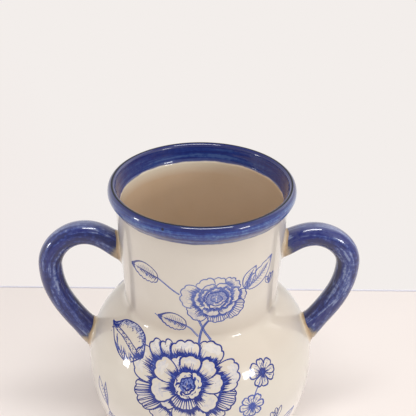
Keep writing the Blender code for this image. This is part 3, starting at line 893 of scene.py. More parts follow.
class Drawing:
    """Ink strokes on the unrolled wall. place sets where on the pot the next strokes are drawn."""

    def __init__(self, seed):
        self.hand = random.Random(seed)
        self.points, self.edges = [], []
        self.values = {"half_width": [], "tone": [], "azimuth": [], "lift": []}
        self.fade = 0.0
        self.place(0, 0)

    def place(self, azimuth, height, turn=0, mirror=1):
        """Moves the middle of the next strokes to an azimuth in degrees and a height from the crease."""
        self.azimuth, self.height, self.turn, self.mirror = azimuth, height, radians(turn), mirror

    def stroke(self, points, width=0.5, tone=0.85, press=(0.5, 1.0, 0.35)):
        """press is how hard the brush leans at the start, the middle and the end."""
        first, count = len(self.points), len(points)
        faded = self.fade * min(1, max(-0.4, points[0][1] / FADING_OVER))
        shade = tone * (1 - faded) + self.hand.uniform(-0.06, 0.06)
        lift = LIFT + LIFT_STEPS * ((len(self.edges) * GOLDEN) % 1)
        if width > 1:  # a wash lies under the lines
            lift *= 0.55
        for i, (x, y) in enumerate(points):
            t = i / max(1, count - 1)
            lean = press[0] * (1 - t) * (1 - 2 * t) + press[1] * 4 * t * (1 - t) + press[2] * t * (2 * t - 1)
            x *= self.mirror
            turned_x = x * cos(self.turn) - y * sin(self.turn)
            turned_y = x * sin(self.turn) + y * cos(self.turn)
            self.points.append((turned_x * MM, (turned_y + self.height) * MM, 0))
            self.values["half_width"].append(max(THINNEST, width * NIB / 2 * lean) * MM)
            self.values["tone"].append(min(1.0, max(0.0, shade)))
            self.values["azimuth"].append(radians(self.azimuth))
            self.values["lift"].append(lift * MM)
            if i:
                self.edges.append((first + i - 1, first + i))

    def sheet(self, name):
        return line_object(name, self.points, self.edges, self.values)


# %% [markdown]
# ### Petals
#
# Seen in the flower's own polar coordinates, a petal is a bump: its edge stands at a certain radius
# for each angle, round at the shoulders and ruffled in small scallops. A flower is drawn from its
# heart outwards. A petal hides whatever lies behind it, so each outline is cut where an earlier
# petal covers it, and the hatching of a petal starts where that cover ends. That gives the dark
# ring round every row of petals.

# %% Petals
SQUARE = 2.8         # squareness of a petal's end: 2 is round
STRIPES_APART = 1.32
HATCHES_APART = 0.55


class Petal:
    """One petal, in polar form: middle and half in degrees, reach and base in millimetres from the heart."""

    def __init__(self, middle, half, reach, base=0.0, scallops=3, depth=0.06, style="hatched"):
        self.middle, self.half, self.reach, self.base = radians(middle), radians(half), reach, base
        self.scallops, self.depth, self.style = scallops, depth, style

    def edge_at(self, t, full):
        ruffle = 1 - self.depth * (1 - abs(sin(pi * self.scallops * (t + 1) / 2)) ** 0.6)
        return self.base + (self.reach * ruffle - self.base) * full

    def edge(self, angle):
        """The edge's radius at an angle, or 0 beside the petal."""
        t = ((angle - self.middle + pi) % (2 * pi) - pi) / self.half
        return self.edge_at(t, (1 - abs(t) ** SQUARE) ** (1 / SQUARE)) if abs(t) < 1 else 0.0

    def outline(self, step):
        count = max(14, round((self.half * self.reach * 2 + (self.reach - self.base) * 1.6) / step))
        points = []
        for a in spread(-pi / 2, pi / 2, count):
            t = (1 if a > 0 else -1) * abs(sin(a)) ** (2 / SQUARE)
            points.append((self.middle + t * self.half, self.edge_at(t, abs(cos(a)) ** (2 / SQUARE))))
        return points


def cover(angle, petals):
    return max([petal.edge(angle) for petal in petals], default=0.0)


def xy(angle, radius):
    return radius * cos(angle), radius * sin(angle)


def visible_runs(points, petals, gap=0.25):
    """Cuts a line of (angle, radius) points where the petals in front cover it."""
    runs, run = [], []
    for angle_here, radius in points:
        if radius > cover(angle_here, petals) + gap:
            run.append(xy(angle_here, radius))
        elif run:
            runs.append(run)
            run = []
    runs.append(run)
    return [r for r in runs if len(r) > 1]


def draw_petal(drawing, petal, front, ink, weight):
    """The outline, then a wash and short dense hatching where the petal comes out from under the others."""
    hand = drawing.hand
    for run in visible_runs(petal.outline(0.9), front):
        drawing.stroke(run, width=0.80 * weight, tone=ink, press=(0.7, 1.15, 0.7))
    if petal.style == "plain":
        return
    for share in (0.62, 0.78):  # a very thin wash shades the petal's middle
        line = []
        for a in spread(petal.middle - petal.half * 0.55, petal.middle + petal.half * 0.55, 12):
            under = max(cover(a, front), petal.base)
            line.append(xy(a, under + (petal.edge(a) - under) * share))
        drawing.stroke(line, width=min(3.2, petal.reach * 0.09), tone=0.0, press=(0.3, 1.0, 0.3))
    angle_here, wash = petal.middle - petal.half, []
    while angle_here < petal.middle + petal.half:
        start = max(cover(angle_here, front), petal.base)
        room = petal.edge(angle_here) - start
        apart = STRIPES_APART if petal.style == "striped" else HATCHES_APART
        here = angle_here
        angle_here += apart / max(start + 1.0, 4.0) * hand.uniform(0.85, 1.15)
        if room < 1.0:
            wash = finish_wash(drawing, wash, ink)
            continue
        wash.append(xy(here, start + 0.8))
        if petal.style == "striped":
            sway = hand.uniform(-0.03, 0.03)
            line = [xy(here + sway * k * k, start + 0.2 + room * 0.96 * k) for k in spread(0, 1, 5)]
            drawing.stroke(line, width=0.74 * weight * hand.uniform(0.75, 1.2), tone=ink * 0.95,
                           press=(1.5, 0.8, 0.8))
            continue
        t = (here - petal.middle) / petal.half
        clump = 0.5 + 0.5 * sin(7.0 * here + petal.reach)
        length = 1.3 + room * (0.10 + 0.30 * clump**2 + 0.26 * abs(t) ** 3) * hand.uniform(0.5, 1.5)
        line = [xy(here + 0.02 * k * hand.uniform(-1, 1), start + 0.05 + min(length, room - 0.4) * k)
                for k in (0, 0.5, 1)]
        drawing.stroke(line, width=0.68 * weight, tone=ink, press=(1.4, 0.8, 0.12))
        if hand.random() < 0.22:
            far = start + room * hand.uniform(0.35, 0.62)
            drawing.stroke([xy(here, start), xy(here, (start + far) / 2), xy(here, far)], width=0.42 * weight,
                           tone=ink * 0.62, press=(1.2, 0.8, 0.1))
    finish_wash(drawing, wash, ink)


def finish_wash(drawing, wash, ink):
    if len(wash) > 3:
        drawing.stroke(wash[1:-1], width=1.7, tone=ink * 0.66, press=(0.7, 1.0, 0.7))
    return []


def heart(drawing, radius, ink, weight, squash=1.0):
    """The folded heart of a peony: a washed centre, two angular whorls, and little folds round them."""
    hand = drawing.hand

    def oval(a, r):
        return r * cos(a), r * sin(a) * squash

    for k in range(-3, 4):
        half = radius * 0.56 * sqrt(1.06 - (k / 3) ** 2)
        y = radius * 0.19 * k * squash
        for start, end in ((-half, -0.1 * half), (0.05 * half, half)):
            drawing.stroke([(start, y), ((start + end) / 2, y + hand.uniform(-0.3, 0.3)), (end, y)],
                           width=radius * 0.25 * hand.uniform(0.6, 1.1), tone=ink * hand.uniform(0.30, 0.74),
                           press=(0.6, 1, 0.6))
    for _ in range(24):
        x, y = oval(hand.uniform(0, 2 * pi), radius * 0.5 * sqrt(hand.random()))
        drawing.stroke([(x - 0.5, y - 0.2), (x + 0.6, y + 0.35)], width=0.75 * weight, tone=ink)
    drawing.stroke([oval(a, radius * 0.76) for a in spread(-0.4, 4.4, 26)], width=radius * 0.34,
                   tone=ink * 0.45, press=(0.5, 1, 0.5))
    for whorl, share in ((0.52, 0.9), (0.98, 0.93)):
        line = []
        for a in spread(whorl * 4, whorl * 4 + 2 * pi * share, 40):
            corner = 1 + 0.07 * cos(5 * a + 1.0) + 0.07 * cos(2 * a + 4 * whorl) + 0.03 * cos(11 * a)
            line.append(oval(a, radius * whorl * corner))
        drawing.stroke(line, width=0.95 * weight, tone=ink, press=(0.8, 1.15, 0.6))
    for k in range(30):
        a = 2 * pi * k / 30 + hand.uniform(-0.15, 0.15)
        r = radius * hand.uniform(0.45, 0.8)
        drawing.stroke([oval(a, r), oval(a + hand.uniform(0, 0.4), radius * hand.uniform(0.85, 1))],
                       width=0.6 * weight, tone=ink * 0.95)
    for a in (0.62, 1.0, 2.9, 4.0):  # small dark folds at the rim of the heart
        drawing.stroke([oval(a, radius * 0.95), oval(a + 0.12, radius * 1.25), oval(a + 0.3, radius * 1.42)],
                       width=1.5 * weight, tone=ink, press=(0.8, 1, 0.5))
    for k in range(14):
        a = 2 * pi * k / 14 + hand.uniform(-0.2, 0.2)
        r = radius * hand.uniform(1.15, 1.55)
        drawing.stroke(smooth_path([oval(a - 0.16, r), oval(a, r + 0.45), oval(a + 0.16, r - 0.1)]),
                       width=0.66 * weight, tone=ink * hand.uniform(0.6, 1.0))


print("a petal's outline has", len(Petal(90, 24, 33).outline(0.9)), "points")

# %% [markdown]
# ### The motifs
#
# Each motif has a function that draws it about its own centre. The peony takes rows of petals, so
# the large one on the belly and the smaller, paler one on the neck come from the same rules.

# %% Motifs: peony
def peony(drawing, rows, heart_radius, ink, weight=1.0, squash=1.0):
    heart(drawing, heart_radius, ink, weight, squash)
    front = []
    for row_of_petals in rows:
        for petal in row_of_petals:
            draw_petal(drawing, petal, front, ink, weight)
            front = front + [petal]


BELLY_PEONY = [
    [Petal(112, 46, 10.4, 7.5, 3, 0.1, "plain"), Petal(34, 42, 11.6, 7.5, 3, 0.1, "plain"),
     Petal(-38, 40, 11.0, 7.5, 3, 0.1, "plain"), Petal(-104, 40, 10.2, 7.5, 4, 0.1, "plain"),
     Petal(182, 44, 10.0, 7, 3, 0.1, "plain")],
    [Petal(86, 30, 21.5, 10, 3), Petal(152, 27, 27.5, 10, 3, 0.07), Petal(116, 20, 22.0, 10, 2),
     Petal(42, 24, 24.5, 10, 3), Petal(4, 23, 26.0, 10, 3), Petal(197, 27, 28.0, 10, 3),
     Petal(-38, 24, 26.5, 10, 3), Petal(-97, 44, 18.5, 9, 5, 0.05, "striped"), Petal(-135, 20, 25.0, 10, 3)],
    [Petal(-84, 34, 30.0, 17, 4, 0.05)],
    [Petal(98, 25, 32.5, 20, 4, 0.05), Petal(58, 23, 35.5, 20, 4, 0.05), Petal(124, 12, 35.5, 20, 2),
     Petal(12, 23, 38.5, 22, 4, 0.05), Petal(138, 12, 39.5, 22, 2, 0.05), Petal(165, 22, 44.5, 22, 4, 0.05),
     Petal(-21, 17, 38.0, 24, 3, 0.05, "striped"), Petal(203, 21, 42.5, 24, 4, 0.05, "striped"),
     Petal(-52, 20, 38.0, 24, 4, 0.05), Petal(234, 18, 39.0, 24, 3, 0.05),
     Petal(-95, 28, 38.0, 24, 4, 0.05, "striped")],
]
NECK_PEONY = [
    [Petal(96, 34, 9.0, 6.5, 3, 0.14), Petal(30, 32, 11.6, 7.5, 3, 0.14), Petal(-30, 34, 11.4, 7.5, 3, 0.14),
     Petal(-96, 36, 9.4, 6.5, 3, 0.14, "plain"), Petal(160, 34, 12.0, 8, 3, 0.14),
     Petal(222, 32, 11.0, 7, 3, 0.14)],
    [Petal(60, 34, 14.0, 8, 3), Petal(124, 34, 14.0, 8, 3), Petal(5, 30, 17.5, 8, 3),
     Petal(-50, 34, 16.5, 8, 3), Petal(-108, 32, 16.0, 8, 3), Petal(180, 34, 16.0, 8, 3)],
    [Petal(174, 32, 26.0, 14, 4), Petal(222, 26, 24.5, 14, 4), Petal(-84, 28, 21.5, 14, 4, 0.06, "striped"),
     Petal(-40, 28, 24.5, 14, 4, 0.06, "striped"), Petal(-2, 18, 23.0, 14, 3),
     Petal(122, 26, 20.0, 13, 3, 0.08, "plain"), Petal(88, 22, 18.5, 13, 3, 0.08, "plain"),
     Petal(44, 28, 20.5, 13, 4, 0.08)],
]


# %% Motifs: small flower, leaves, buds and stems
def small_flower(drawing, radius, ink, petals=8):
    hand = drawing.hand
    shapes = [Petal(360 / petals * k + hand.uniform(-7, 7), 360 / petals * 0.54,
                    radius * hand.uniform(0.86, 1.08), radius * 0.30, 2, 0.05) for k in range(petals)]
    for k, petal in enumerate(shapes):
        for run in visible_runs(petal.outline(0.8), shapes[:k]):
            drawing.stroke(run, width=0.82, tone=ink * 0.92, press=(0.5, 1.2, 0.4))
        vein = [xy(petal.middle, radius * 0.3), xy(petal.middle + 0.06, radius * 0.74)]
        drawing.stroke(vein, width=0.7, tone=ink * 0.75)
        for _ in range(5):
            x, y = xy(petal.middle + hand.uniform(-0.2, 0.2), radius * hand.uniform(0.45, 0.85))
            drawing.stroke([(x, y), (x + 0.6, y + 0.3)], width=0.6, tone=ink * 0.7)
    for k in range(44):
        a = 2 * pi * k / 44 + hand.uniform(-0.1, 0.1)
        drawing.stroke([xy(a, radius * 0.05), xy(a + 0.1, radius * hand.uniform(0.26, 0.74))],
                       width=0.85, tone=ink, press=(1.2, 0.8, 0.2))
    drawing.stroke([(-radius * 0.2, 0), (0, radius * 0.05), (radius * 0.2, 0)], width=2.0, tone=ink * 0.8)


def stem(drawing, points, width=1.2, tone=0.7):
    """Two edges with a thin wash between them, like a stalk seen in a print."""
    line = smooth_path(points)
    drawing.stroke(line, width=width, tone=tone * 0.55, press=(1, 1, 1))
    for side in (-0.5, 0.5):
        drawing.stroke([(x + side * width * 0.8, y + side * width * 0.5) for x, y in line],
                       width=0.46, tone=tone, press=(0.9, 0.9, 0.9))


def leaf(drawing, length, width, ink, bow=0.06, tip=1.0, teeth=7):
    """A leaf along +x from its stalk: one plain edge, one toothed edge, hatching along the midrib."""
    hand = drawing.hand
    sign_of_width = 1 if width > 0 else -1

    def rib(t):
        return length * t, length * bow * sin(pi * t) * sign_of_width

    def side_point(t, sign, tooth=0.0):
        x, y = rib(t)
        swell = sin(pi * min(1, t) ** 0.80) ** (0.45 + 0.55 * t)  # round by the stalk, pointed at the tip
        return x, y + sign * (width / 2 * swell + tooth * sign_of_width)

    plain = [side_point(t, 1) for t in spread(0, 1, 26)]
    toothed = [side_point(t, -1, abs(sin(pi * teeth * t)) * sin(pi * t) ** 0.5) for t in spread(0, 1, 46)]
    drawing.stroke(plain, width=0.85, tone=ink, press=(0.7, 0.9, 1.7 * tip))
    drawing.stroke(toothed, width=0.85, tone=ink * 0.95, press=(0.7, 0.9, 1.7 * tip))
    drawing.stroke([rib(t) for t in spread(0.0, 0.86, 16)], width=0.62, tone=ink, press=(1.2, 0.9, 0.3))
    x0, y0 = rib(0.12)
    x1, y1 = rib(0.62)
    drawing.stroke([(x0, y0 - 0.11 * width), ((x0 + x1) / 2, y0 - 0.13 * width), (x1, y1 - 0.08 * width)],
                   width=min(1.9, abs(width) * 0.18), tone=ink * 0.42, press=(0.7, 1, 0.5))

    def hatch(t, end, reach, **brush):
        (x0, y0), (x1, y1) = rib(t), end
        drawing.stroke([(x0, y0), (x0 + (x1 - x0) * reach, y0 + (y1 - y0) * reach)], **brush)

    for k in range(15):
        t = 0.05 + 0.74 * k / 15
        hatch(t, side_point(t + 0.10, -1), hand.uniform(0.35, 0.85) * (1 - 0.45 * t),
              width=0.78, tone=ink, press=(1.1, 0.9, 0.3))
    for k in range(8):
        t = 0.12 + 0.6 * k / 8
        hatch(t, side_point(t + 0.12, 1), hand.uniform(0.4, 0.8), width=0.5, tone=ink * 0.85)
    for sign in (-0.7, 0, 0.7):  # the dark tip
        drawing.stroke([side_point(t, sign) for t in (0.84, 0.90, 0.95, 0.99)], width=2.0 * tip, tone=ink,
                       press=(0.3, 1.0, 0.8))


def stippled_bud(drawing, ink):
    """A large folded leaf bud, its tip on the left: dots along its edge and fold, hatching near the stalk."""
    hand = drawing.hand
    upper = smooth_path([(-25.5, 0.8), (-21.5, 1.6), (-17.5, 4.8), (-11.0, 10.4), (1.0, 12.8), (12.0, 8.8),
                         (18.5, -0.4), (20.3, -5.5)])
    lower = smooth_path([(-25.5, 0.8), (-21.0, -0.8), (-16.5, -3.6), (-9.5, -8.0), (2.0, -13.0),
                         (12.0, -13.2), (20.3, -5.5)])
    fold = smooth_path([(-17.5, 1.6), (-9.0, 2.2), (1.0, 1.0), (11.0, -2.2), (19.4, -5.8)])
    near = smooth_path([(-15.0, -0.8), (-7.0, -0.6), (2.0, -2.8), (11.0, -6.4), (18.4, -7.4)])
    for line, width in ((upper, 0.75), (lower, 0.8), (fold, 0.5), (near, 0.5)):
        drawing.stroke(line, width=width, tone=ink, press=(1.3, 0.9, 1.3))
    drawing.stroke([(x, y - 2.2) for x, y in upper[6:-5]], width=2.6, tone=ink * 0.16, press=(0.8, 1, 0.8))
    for _ in range(200):  # dots along the upper edge
        x, y = hand.choice(upper[3:-1])
        drop = abs(hand.gauss(0, 2.4)) + 0.4
        if drop < 6.0:
            x, y = x - drop * x * 0.018 + hand.uniform(-0.5, 0.5), y - drop
            drawing.stroke([(x, y), (x + 0.5, y - 0.2)], width=0.95, tone=ink, press=(1, 1, 0.8))
    for _ in range(95):  # dots between the fold and its far side
        k = hand.randrange(2, min(len(fold), len(near)) - 1)
        (x, y), (u, v) = fold[k], near[k - 1]
        s = hand.random()
        x, y = x + (u - x) * s, y + (v - y) * s
        drawing.stroke([(x, y), (x + 0.5, y - 0.2)], width=0.66, tone=ink, press=(1, 1, 0.8))
    for k in range(60):  # long hatching that runs up from the stalk end
        x, y = lower[-2 - int(k / 60 * (len(lower) * 0.62))]
        rise = hand.uniform(0.4, 6.5)
        drawing.stroke([(x, y + 0.3 + rise * 0.5), (x - hand.uniform(2.0, 5.0), y + 0.9 + rise)],
                       width=0.56, tone=ink * 0.9, press=(1.2, 0.8, 0.15))
    for _ in range(34):  # the dark tip and the dark stalk end
        a = hand.random()
        drawing.stroke([(-22.5 + 6 * a, 0.4 + hand.uniform(-1.8, 3.4) * a),
                        (-20 + 6 * a, 0.4 + hand.uniform(-1, 4.4) * a)], width=0.95, tone=ink)
        drawing.stroke([(21 - 5 * a, -6 + hand.uniform(-3.2, 2.2) * a),
                        (18.5 - 5 * a, -6 + hand.uniform(-3, 2.4) * a)], width=0.8, tone=ink)


def small_bud(drawing, size, ink):
    for k in range(3):
        a = radians(60 + 30 * k)
        scale = [(0, 0), xy(a + 0.35, size * 0.6), xy(a, size), xy(a - 0.35, size * 0.6), (0, 0)]
        drawing.stroke(smooth_path(scale), width=0.6, tone=ink)
    for _ in range(22):
        a = radians(drawing.hand.uniform(55, 125))
        r = size * drawing.hand.uniform(0.25, 0.9)
        drawing.stroke([xy(a, r), xy(a, r + size * 0.14)], width=0.7, tone=ink)


def sprig(drawing, length, ink):
    """Two narrow blades on a thin stalk that runs down from the origin."""
    for lean in (-0.34, 0.06):
        tip = (length * lean, length * 0.95)
        for middle, width in (((length * lean * 0.9 - 2.6, length * 0.5), 1.25),
                              ((length * lean * 0.3 + 2.2, length * 0.45), 1.1)):
            drawing.stroke(smooth_path([(0, 0), middle, tip]), width=width, tone=ink)
        for k in range(6):
            y = length * (0.12 + 0.1 * k)
            drawing.stroke([(lean * y - 1.2, y), (lean * y + 1.2, y + 2.0)], width=0.9, tone=ink * 0.9)
    stem(drawing, [(0, 0), (length * 0.08, -length * 0.3), (length * 0.2, -length * 0.6)],
         width=0.8, tone=ink)


# %% [markdown]
# ### Composing the drawing
#
# The large peony sits just under the crease, a little left of the middle. Its stem crosses the
# crease and carries the paler flower on the neck, with a leaf to each side. A stippled bud stands
# on the left shoulder and a spray of small flowers on the right. The same spray is drawn again on
# the back, turned the other way, so that the vase is decorated all round.

# %% Compose one face of the vase
NECK_MIDDLE_RADIUS = 60.5  # turns millimetres round the neck into an angle


def neck_spray(drawing, azimuth, mirror):
    def at(x, y, turn=0):
        drawing.place(azimuth + mirror * degrees(x / NECK_MIDDLE_RADIUS), y, mirror * turn, mirror)

    at(11.0, 37.0)
    drawing.fade = 0.30
    peony(drawing, NECK_PEONY, 8.2, ink=0.64, weight=0.80, squash=0.72)
    drawing.fade = 0.0
    at(-31.0, 49.6, turn=176)
    leaf(drawing, 26.0, -14.0, ink=0.90, bow=0.05)
    at(0, 0)
    stem(drawing, [(-15.2, 39.6), (-20.5, 42.8), (-26.0, 46.6), (-31.4, 49.8)], width=0.8, tone=0.62)
    at(33.0, 41.0, turn=39)
    leaf(drawing, 31.0, -13.5, ink=0.62, bow=0.10, tip=0.3, teeth=5)
    at(33.0, 41.0, turn=66)
    leaf(drawing, 19.0, 9.0, ink=0.58, bow=0.10, tip=0.2, teeth=4)
    at(56.8, 34.5)
    small_bud(drawing, 9.5, ink=0.66)
    at(0, 0)
    stem(drawing, [(5.4, 17.4), (2.2, 12.5), (0.3, 7.0), (-1.2, -2.5)], width=1.5, tone=0.78)
    stem(drawing, [(-1.4, 18.0), (1.0, 12.0), (3.6, 6.0), (7.4, 0.2)], width=1.3, tone=0.74)
    stem(drawing, [(-11.0, 12.6), (-7.0, 10.0), (-4.4, 6.6), (-1.6, 3.0)], width=0.9, tone=0.66)
    at(-10.6, 12.6, turn=172)
    leaf(drawing, 22.0, -13.5, ink=0.86, bow=0.05)
    at(-31.6, 15.4, turn=168)
    stem(drawing, [(0, 0), (2.2, 0.4), (4.2, -0.3)], width=0.6, tone=0.7)


def belly_spray(drawing, azimuth, mirror):
    def at(degrees_round, y, turn=0):
        drawing.place(azimuth + mirror * degrees_round, y, mirror * turn, mirror)

    at(-6.6, -32.5)
    peony(drawing, BELLY_PEONY, 5.8, ink=0.97)
    at(-50.0, -15.0)
    stippled_bud(drawing, ink=0.95)
    at(34.4, -31.0)
    small_flower(drawing, 10.5, ink=1.0)
    at(25.9, -53.4)
    small_flower(drawing, 10.0, ink=0.72)
    at(27.4, -42.0)
    stem(drawing, [(6.0, 5.0), (2.4, 0.4), (0.4, -3.0), (-1.2, -5.6)], width=0.8, tone=0.7)
    at(41.0, -76.0, turn=8)
    small_bud(drawing, 11.0, ink=0.88)
    at(44.0, -92.0, turn=32)
    leaf(drawing, 22.0, 9.0, ink=0.5)
    at(-53.4, -79.0, turn=6)
    sprig(drawing, 25.0, ink=0.85)
    at(-50.0, -92.0)
    small_flower(drawing, 8.5, ink=0.6, petals=6)
    at(-34.0, -92.0, turn=-115)
    leaf(drawing, 26.0, 11.0, ink=0.8)
    at(14.0, -88.0, turn=-60)
    leaf(drawing, 28.0, 12.0, ink=0.8)


sheets = {}  # each drawing has its own fixed seed
for place, spray, front_seed, back_seed in (("belly", belly_spray, 5, 17), ("neck", neck_spray, 8, 23)):
    for face, seed, azimuth, mirror in (("front", front_seed, 0, 1), ("back", back_seed, 180, -1)):
        sheets[f"{place}_flowers_{face}"] = drawing = Drawing(seed)
        spray(drawing, azimuth, mirror)
print("points on the strokes:", {label: len(drawing.points) for label, drawing in sheets.items()})

# %% [markdown]
# ### Laying the drawing on the pot
#
# The tree turns each flat line into a thin ribbon. It then looks up the wall's outline at the
# stroke's height along the wall, which gives the radius, the height and the wall's slope there, and
# winds the ribbon round the axis by its distance from the motif's centre. So no shape is stretched,
# however steep the shoulder is. The ribbon's upper side is lifted off the wall and its lower side
# is sunk a little, so it has no gap under it.

# %% The tree that lays strokes on the wall
laying, given, result = new_tree("lay a drawing on the wall", {
    "Wall": "Object", "Crease Length": "Float", "Sink": "Float", "Material": "Material"})
stored = {label: add(laying, "GeometryNodeInputNamedAttribute", {"Name": label}, data_type="FLOAT")
          for label in ("half_width", "lift", "azimuth")}
lines = add(laying, "GeometryNodeMeshToCurve", {"Mesh": given.outputs["Geometry"]})
flat = add(laying, "GeometryNodeSetCurveNormal", {"Curve": lines}, mode="Z_UP")
nib = add(laying, "GeometryNodeCurvePrimitiveQuadrilateral", {"Width": 2.0, "Height": 0.5})
ribbon = add(laying, "GeometryNodeCurveToMesh", {
    "Curve": flat, "Profile Curve": nib, "Scale": stored["half_width"], "Fill Caps": True})
flat_spot = add(laying, "GeometryNodeInputPosition")
flat_xyz = add(laying, "ShaderNodeSeparateXYZ", {0: flat_spot})
top_side = add(laying, "ShaderNodeMath", {0: flat_xyz.outputs["Z"], 1: 0.0}, operation="GREATER_THAN")
off_wall = add(laying, "ShaderNodeMix", {"Factor": top_side, "A": given.outputs["Sink"], "B": stored["lift"]})
wall = add(laying, "GeometryNodeObjectInfo", {"Object": given.outputs["Wall"]}).outputs["Geometry"]
wall_curve = add(laying, "GeometryNodeMeshToCurve", {"Mesh": wall})
down_wall = add(laying, "ShaderNodeMath", {0: given.outputs["Crease Length"], 1: flat_xyz.outputs["Y"]},
                operation="SUBTRACT")
spot = add(laying, "GeometryNodeSampleCurve", {"Curves": wall_curve, "Length": down_wall},
           mode="LENGTH", use_all_curves=True)
spot_radius = add(laying, "ShaderNodeSeparateXYZ", {0: spot.outputs["Position"]}).outputs["X"]
slope = add(laying, "ShaderNodeSeparateXYZ", {0: spot.outputs["Tangent"]})
outwards_x = add(laying, "ShaderNodeMath", {0: slope.outputs["Z"], 1: -1.0}, operation="MULTIPLY")
outwards = add(laying, "ShaderNodeCombineXYZ", {"X": outwards_x, "Z": slope.outputs["X"]})
raised = add(laying, "ShaderNodeVectorMath", {0: outwards, "Scale": off_wall}, operation="SCALE")
in_plane = add(laying, "ShaderNodeVectorMath", {0: spot.outputs["Position"], 1: raised}, operation="ADD")
round_by = add(laying, "ShaderNodeMath", {0: flat_xyz.outputs["X"], 1: spot_radius}, operation="DIVIDE")
round_to = add(laying, "ShaderNodeMath", {0: round_by, 1: stored["azimuth"]}, operation="ADD")
from_front = add(laying, "ShaderNodeMath", {0: round_to, 1: -pi / 2}, operation="ADD")
wound = add(laying, "ShaderNodeVectorRotate", {"Vector": in_plane, "Angle": from_front},
            rotation_type="Z_AXIS")
laid = add(laying, "GeometryNodeSetPosition", {"Geometry": ribbon, "Position": wound})
end_tree(laying, laid, given, result)

# %% [markdown]
# ## Cobalt ink
#
# Cobalt under a clear glaze: navy where the brush was full, a soft grey blue where it was nearly
# dry. The tone of each stroke picks the colour, and a fine noise lets it run a little paler and
# darker along its length. The gloss is the same as the wall's, because the same glaze lies over
# both.

# %% Ink material
ink_under_glaze, ink, ink_shader = glossy_glaze("cobalt_line_under_clear_glaze")
tone = add(ink, "ShaderNodeAttribute", attribute_name="tone").outputs["Fac"]
here = add(ink, "ShaderNodeTexCoord").outputs["Object"]
runny = add(ink, "ShaderNodeTexNoise", {"Vector": here, "Scale": 1 / 0.0022, "Detail": 3.0})
shifted = add(ink, "ShaderNodeMath", {0: runny, 1: 0.34, 2: -0.17}, operation="MULTIPLY_ADD")
loaded = add(ink, "ShaderNodeMath", {0: tone, 1: shifted}, operation="ADD")
ink_ramp = colour_stops(add(ink, "ShaderNodeValToRGB", {"Fac": loaded}), [
    (0.0, "#d2cbc4"), (0.14, "#b4b3c0"), (0.38, "#717fb7"), (0.70, "#2b469d"), (1.0, "#0c2076")])
wire(ink_shader, {"Base Color": ink_ramp})

# %% Lay the four drawings
STROKE_SINK = 0.05
crease_length = sum(hypot(b[0] - a[0], b[1] - a[1]) for a, b in zip(wall_line, wall_line[1:])
                    if (a[1] + b[1]) / 2 > CREASE_LEVEL)
wall_outline = outline_object("wall_outline", wall_line)
drawings = []
for label, drawing in sheets.items():
    lines_on_pot = made_by(laying, drawing.sheet(label + "_sheet"), label, {
        "Wall": wall_outline, "Crease Length": crease_length * MM, "Sink": -STROKE_SINK * MM,
        "Material": ink_under_glaze})
    face_outwards(lines_on_pot.data)
    drawings.append(lines_on_pot)
    print(label, "faces:", len(lines_on_pot.data.polygons))
bpy.data.objects.remove(wall_outline, do_unlink=True)

# %% [markdown]
# ## Table
#
# A pale laminate table ends a little behind the vase, with a thin edging that catches a bluish
# light. Neither belongs to the vase.

# %% Table and its edging
TABLE_BACK, TABLE_HALF, TABLE_THICKNESS = 0.211, 2.5, 0.03
EDGING = 0.0016
table_white, table_tree, table_shader = new_finish("satin_white_laminate", {"Roughness": 0.55})
here = add(table_tree, "ShaderNodeTexCoord").outputs["Object"]
mottle = add(table_tree, "ShaderNodeTexNoise", {"Vector": here, "Scale": 6.0, "Detail": 2.0})
table_colour = add(table_tree, "ShaderNodeMix", {"Factor": mottle, "A": "#e6deda", "B": "#eae2de"},
                   data_type="RGBA")
wire(table_shader, {"Base Color": table_colour})
edge_shade = new_finish("bluish_laminate_edge", {"Base Color": "#e4e4ee"})[0]


def slab(name, low, high, finish, bevel):
    shape = bmesh.new()
    bmesh.ops.create_cube(shape, size=1.0)
    bmesh.ops.scale(shape, vec=Vector(high) - Vector(low), verts=shape.verts)
    bmesh.ops.translate(shape, vec=(Vector(low) + Vector(high)) / 2, verts=shape.verts)
    bmesh.ops.bevel(shape, geom=shape.edges, offset=bevel, segments=3, affect="EDGES")
    mesh = bpy.data.meshes.new(name)
    shape.to_mesh(mesh)
    shape.free()
    mesh.materials.append(finish)
    return show(name, mesh)


table = slab("table_top", (-TABLE_HALF, -TABLE_HALF, -TABLE_THICKNESS), (TABLE_HALF, TABLE_BACK, 0.0),
             table_white, bevel=0.0015)
edging = slab("table_edging", (-TABLE_HALF, TABLE_BACK, -TABLE_THICKNESS),
              (TABLE_HALF, TABLE_BACK + EDGING, 0.0004), edge_shade, bevel=0.0002)
print("table ends behind the vase's axis, mm:", round(TABLE_BACK / MM))

# %% [markdown]
# ## Light
#
# The room's light is soft and nearly even. Soft boxes on the right and behind make that side
# brighter, two small bright windows give the sharp points of light on the glaze, and a strip
# overhead draws the bright line along the lip and the handles.

# %% Lights
def soft_box(name, towards, distance, size, power, tint="#ffffff"):
    """An area light in a direction given as azimuth from the front and elevation, in degrees."""
    azimuth, elevation = map(radians, towards)
    data = bpy.data.lights.new(name, "AREA")
    data.shape = "RECTANGLE"
    data.size, data.size_y = size
    data.energy = power
    data.color = colour(tint)[:3]
    lamp = bpy.data.objects.new(name, data)
    away = Vector((sin(azimuth) * cos(elevation), -cos(azimuth) * cos(elevation), sin(elevation)))
    lamp.location = Vector((0, 0, 0.15)) + away * distance
    lamp.rotation_euler = (-away).to_track_quat("-Z", "Y").to_euler()
    bpy.context.scene.collection.objects.link(lamp)


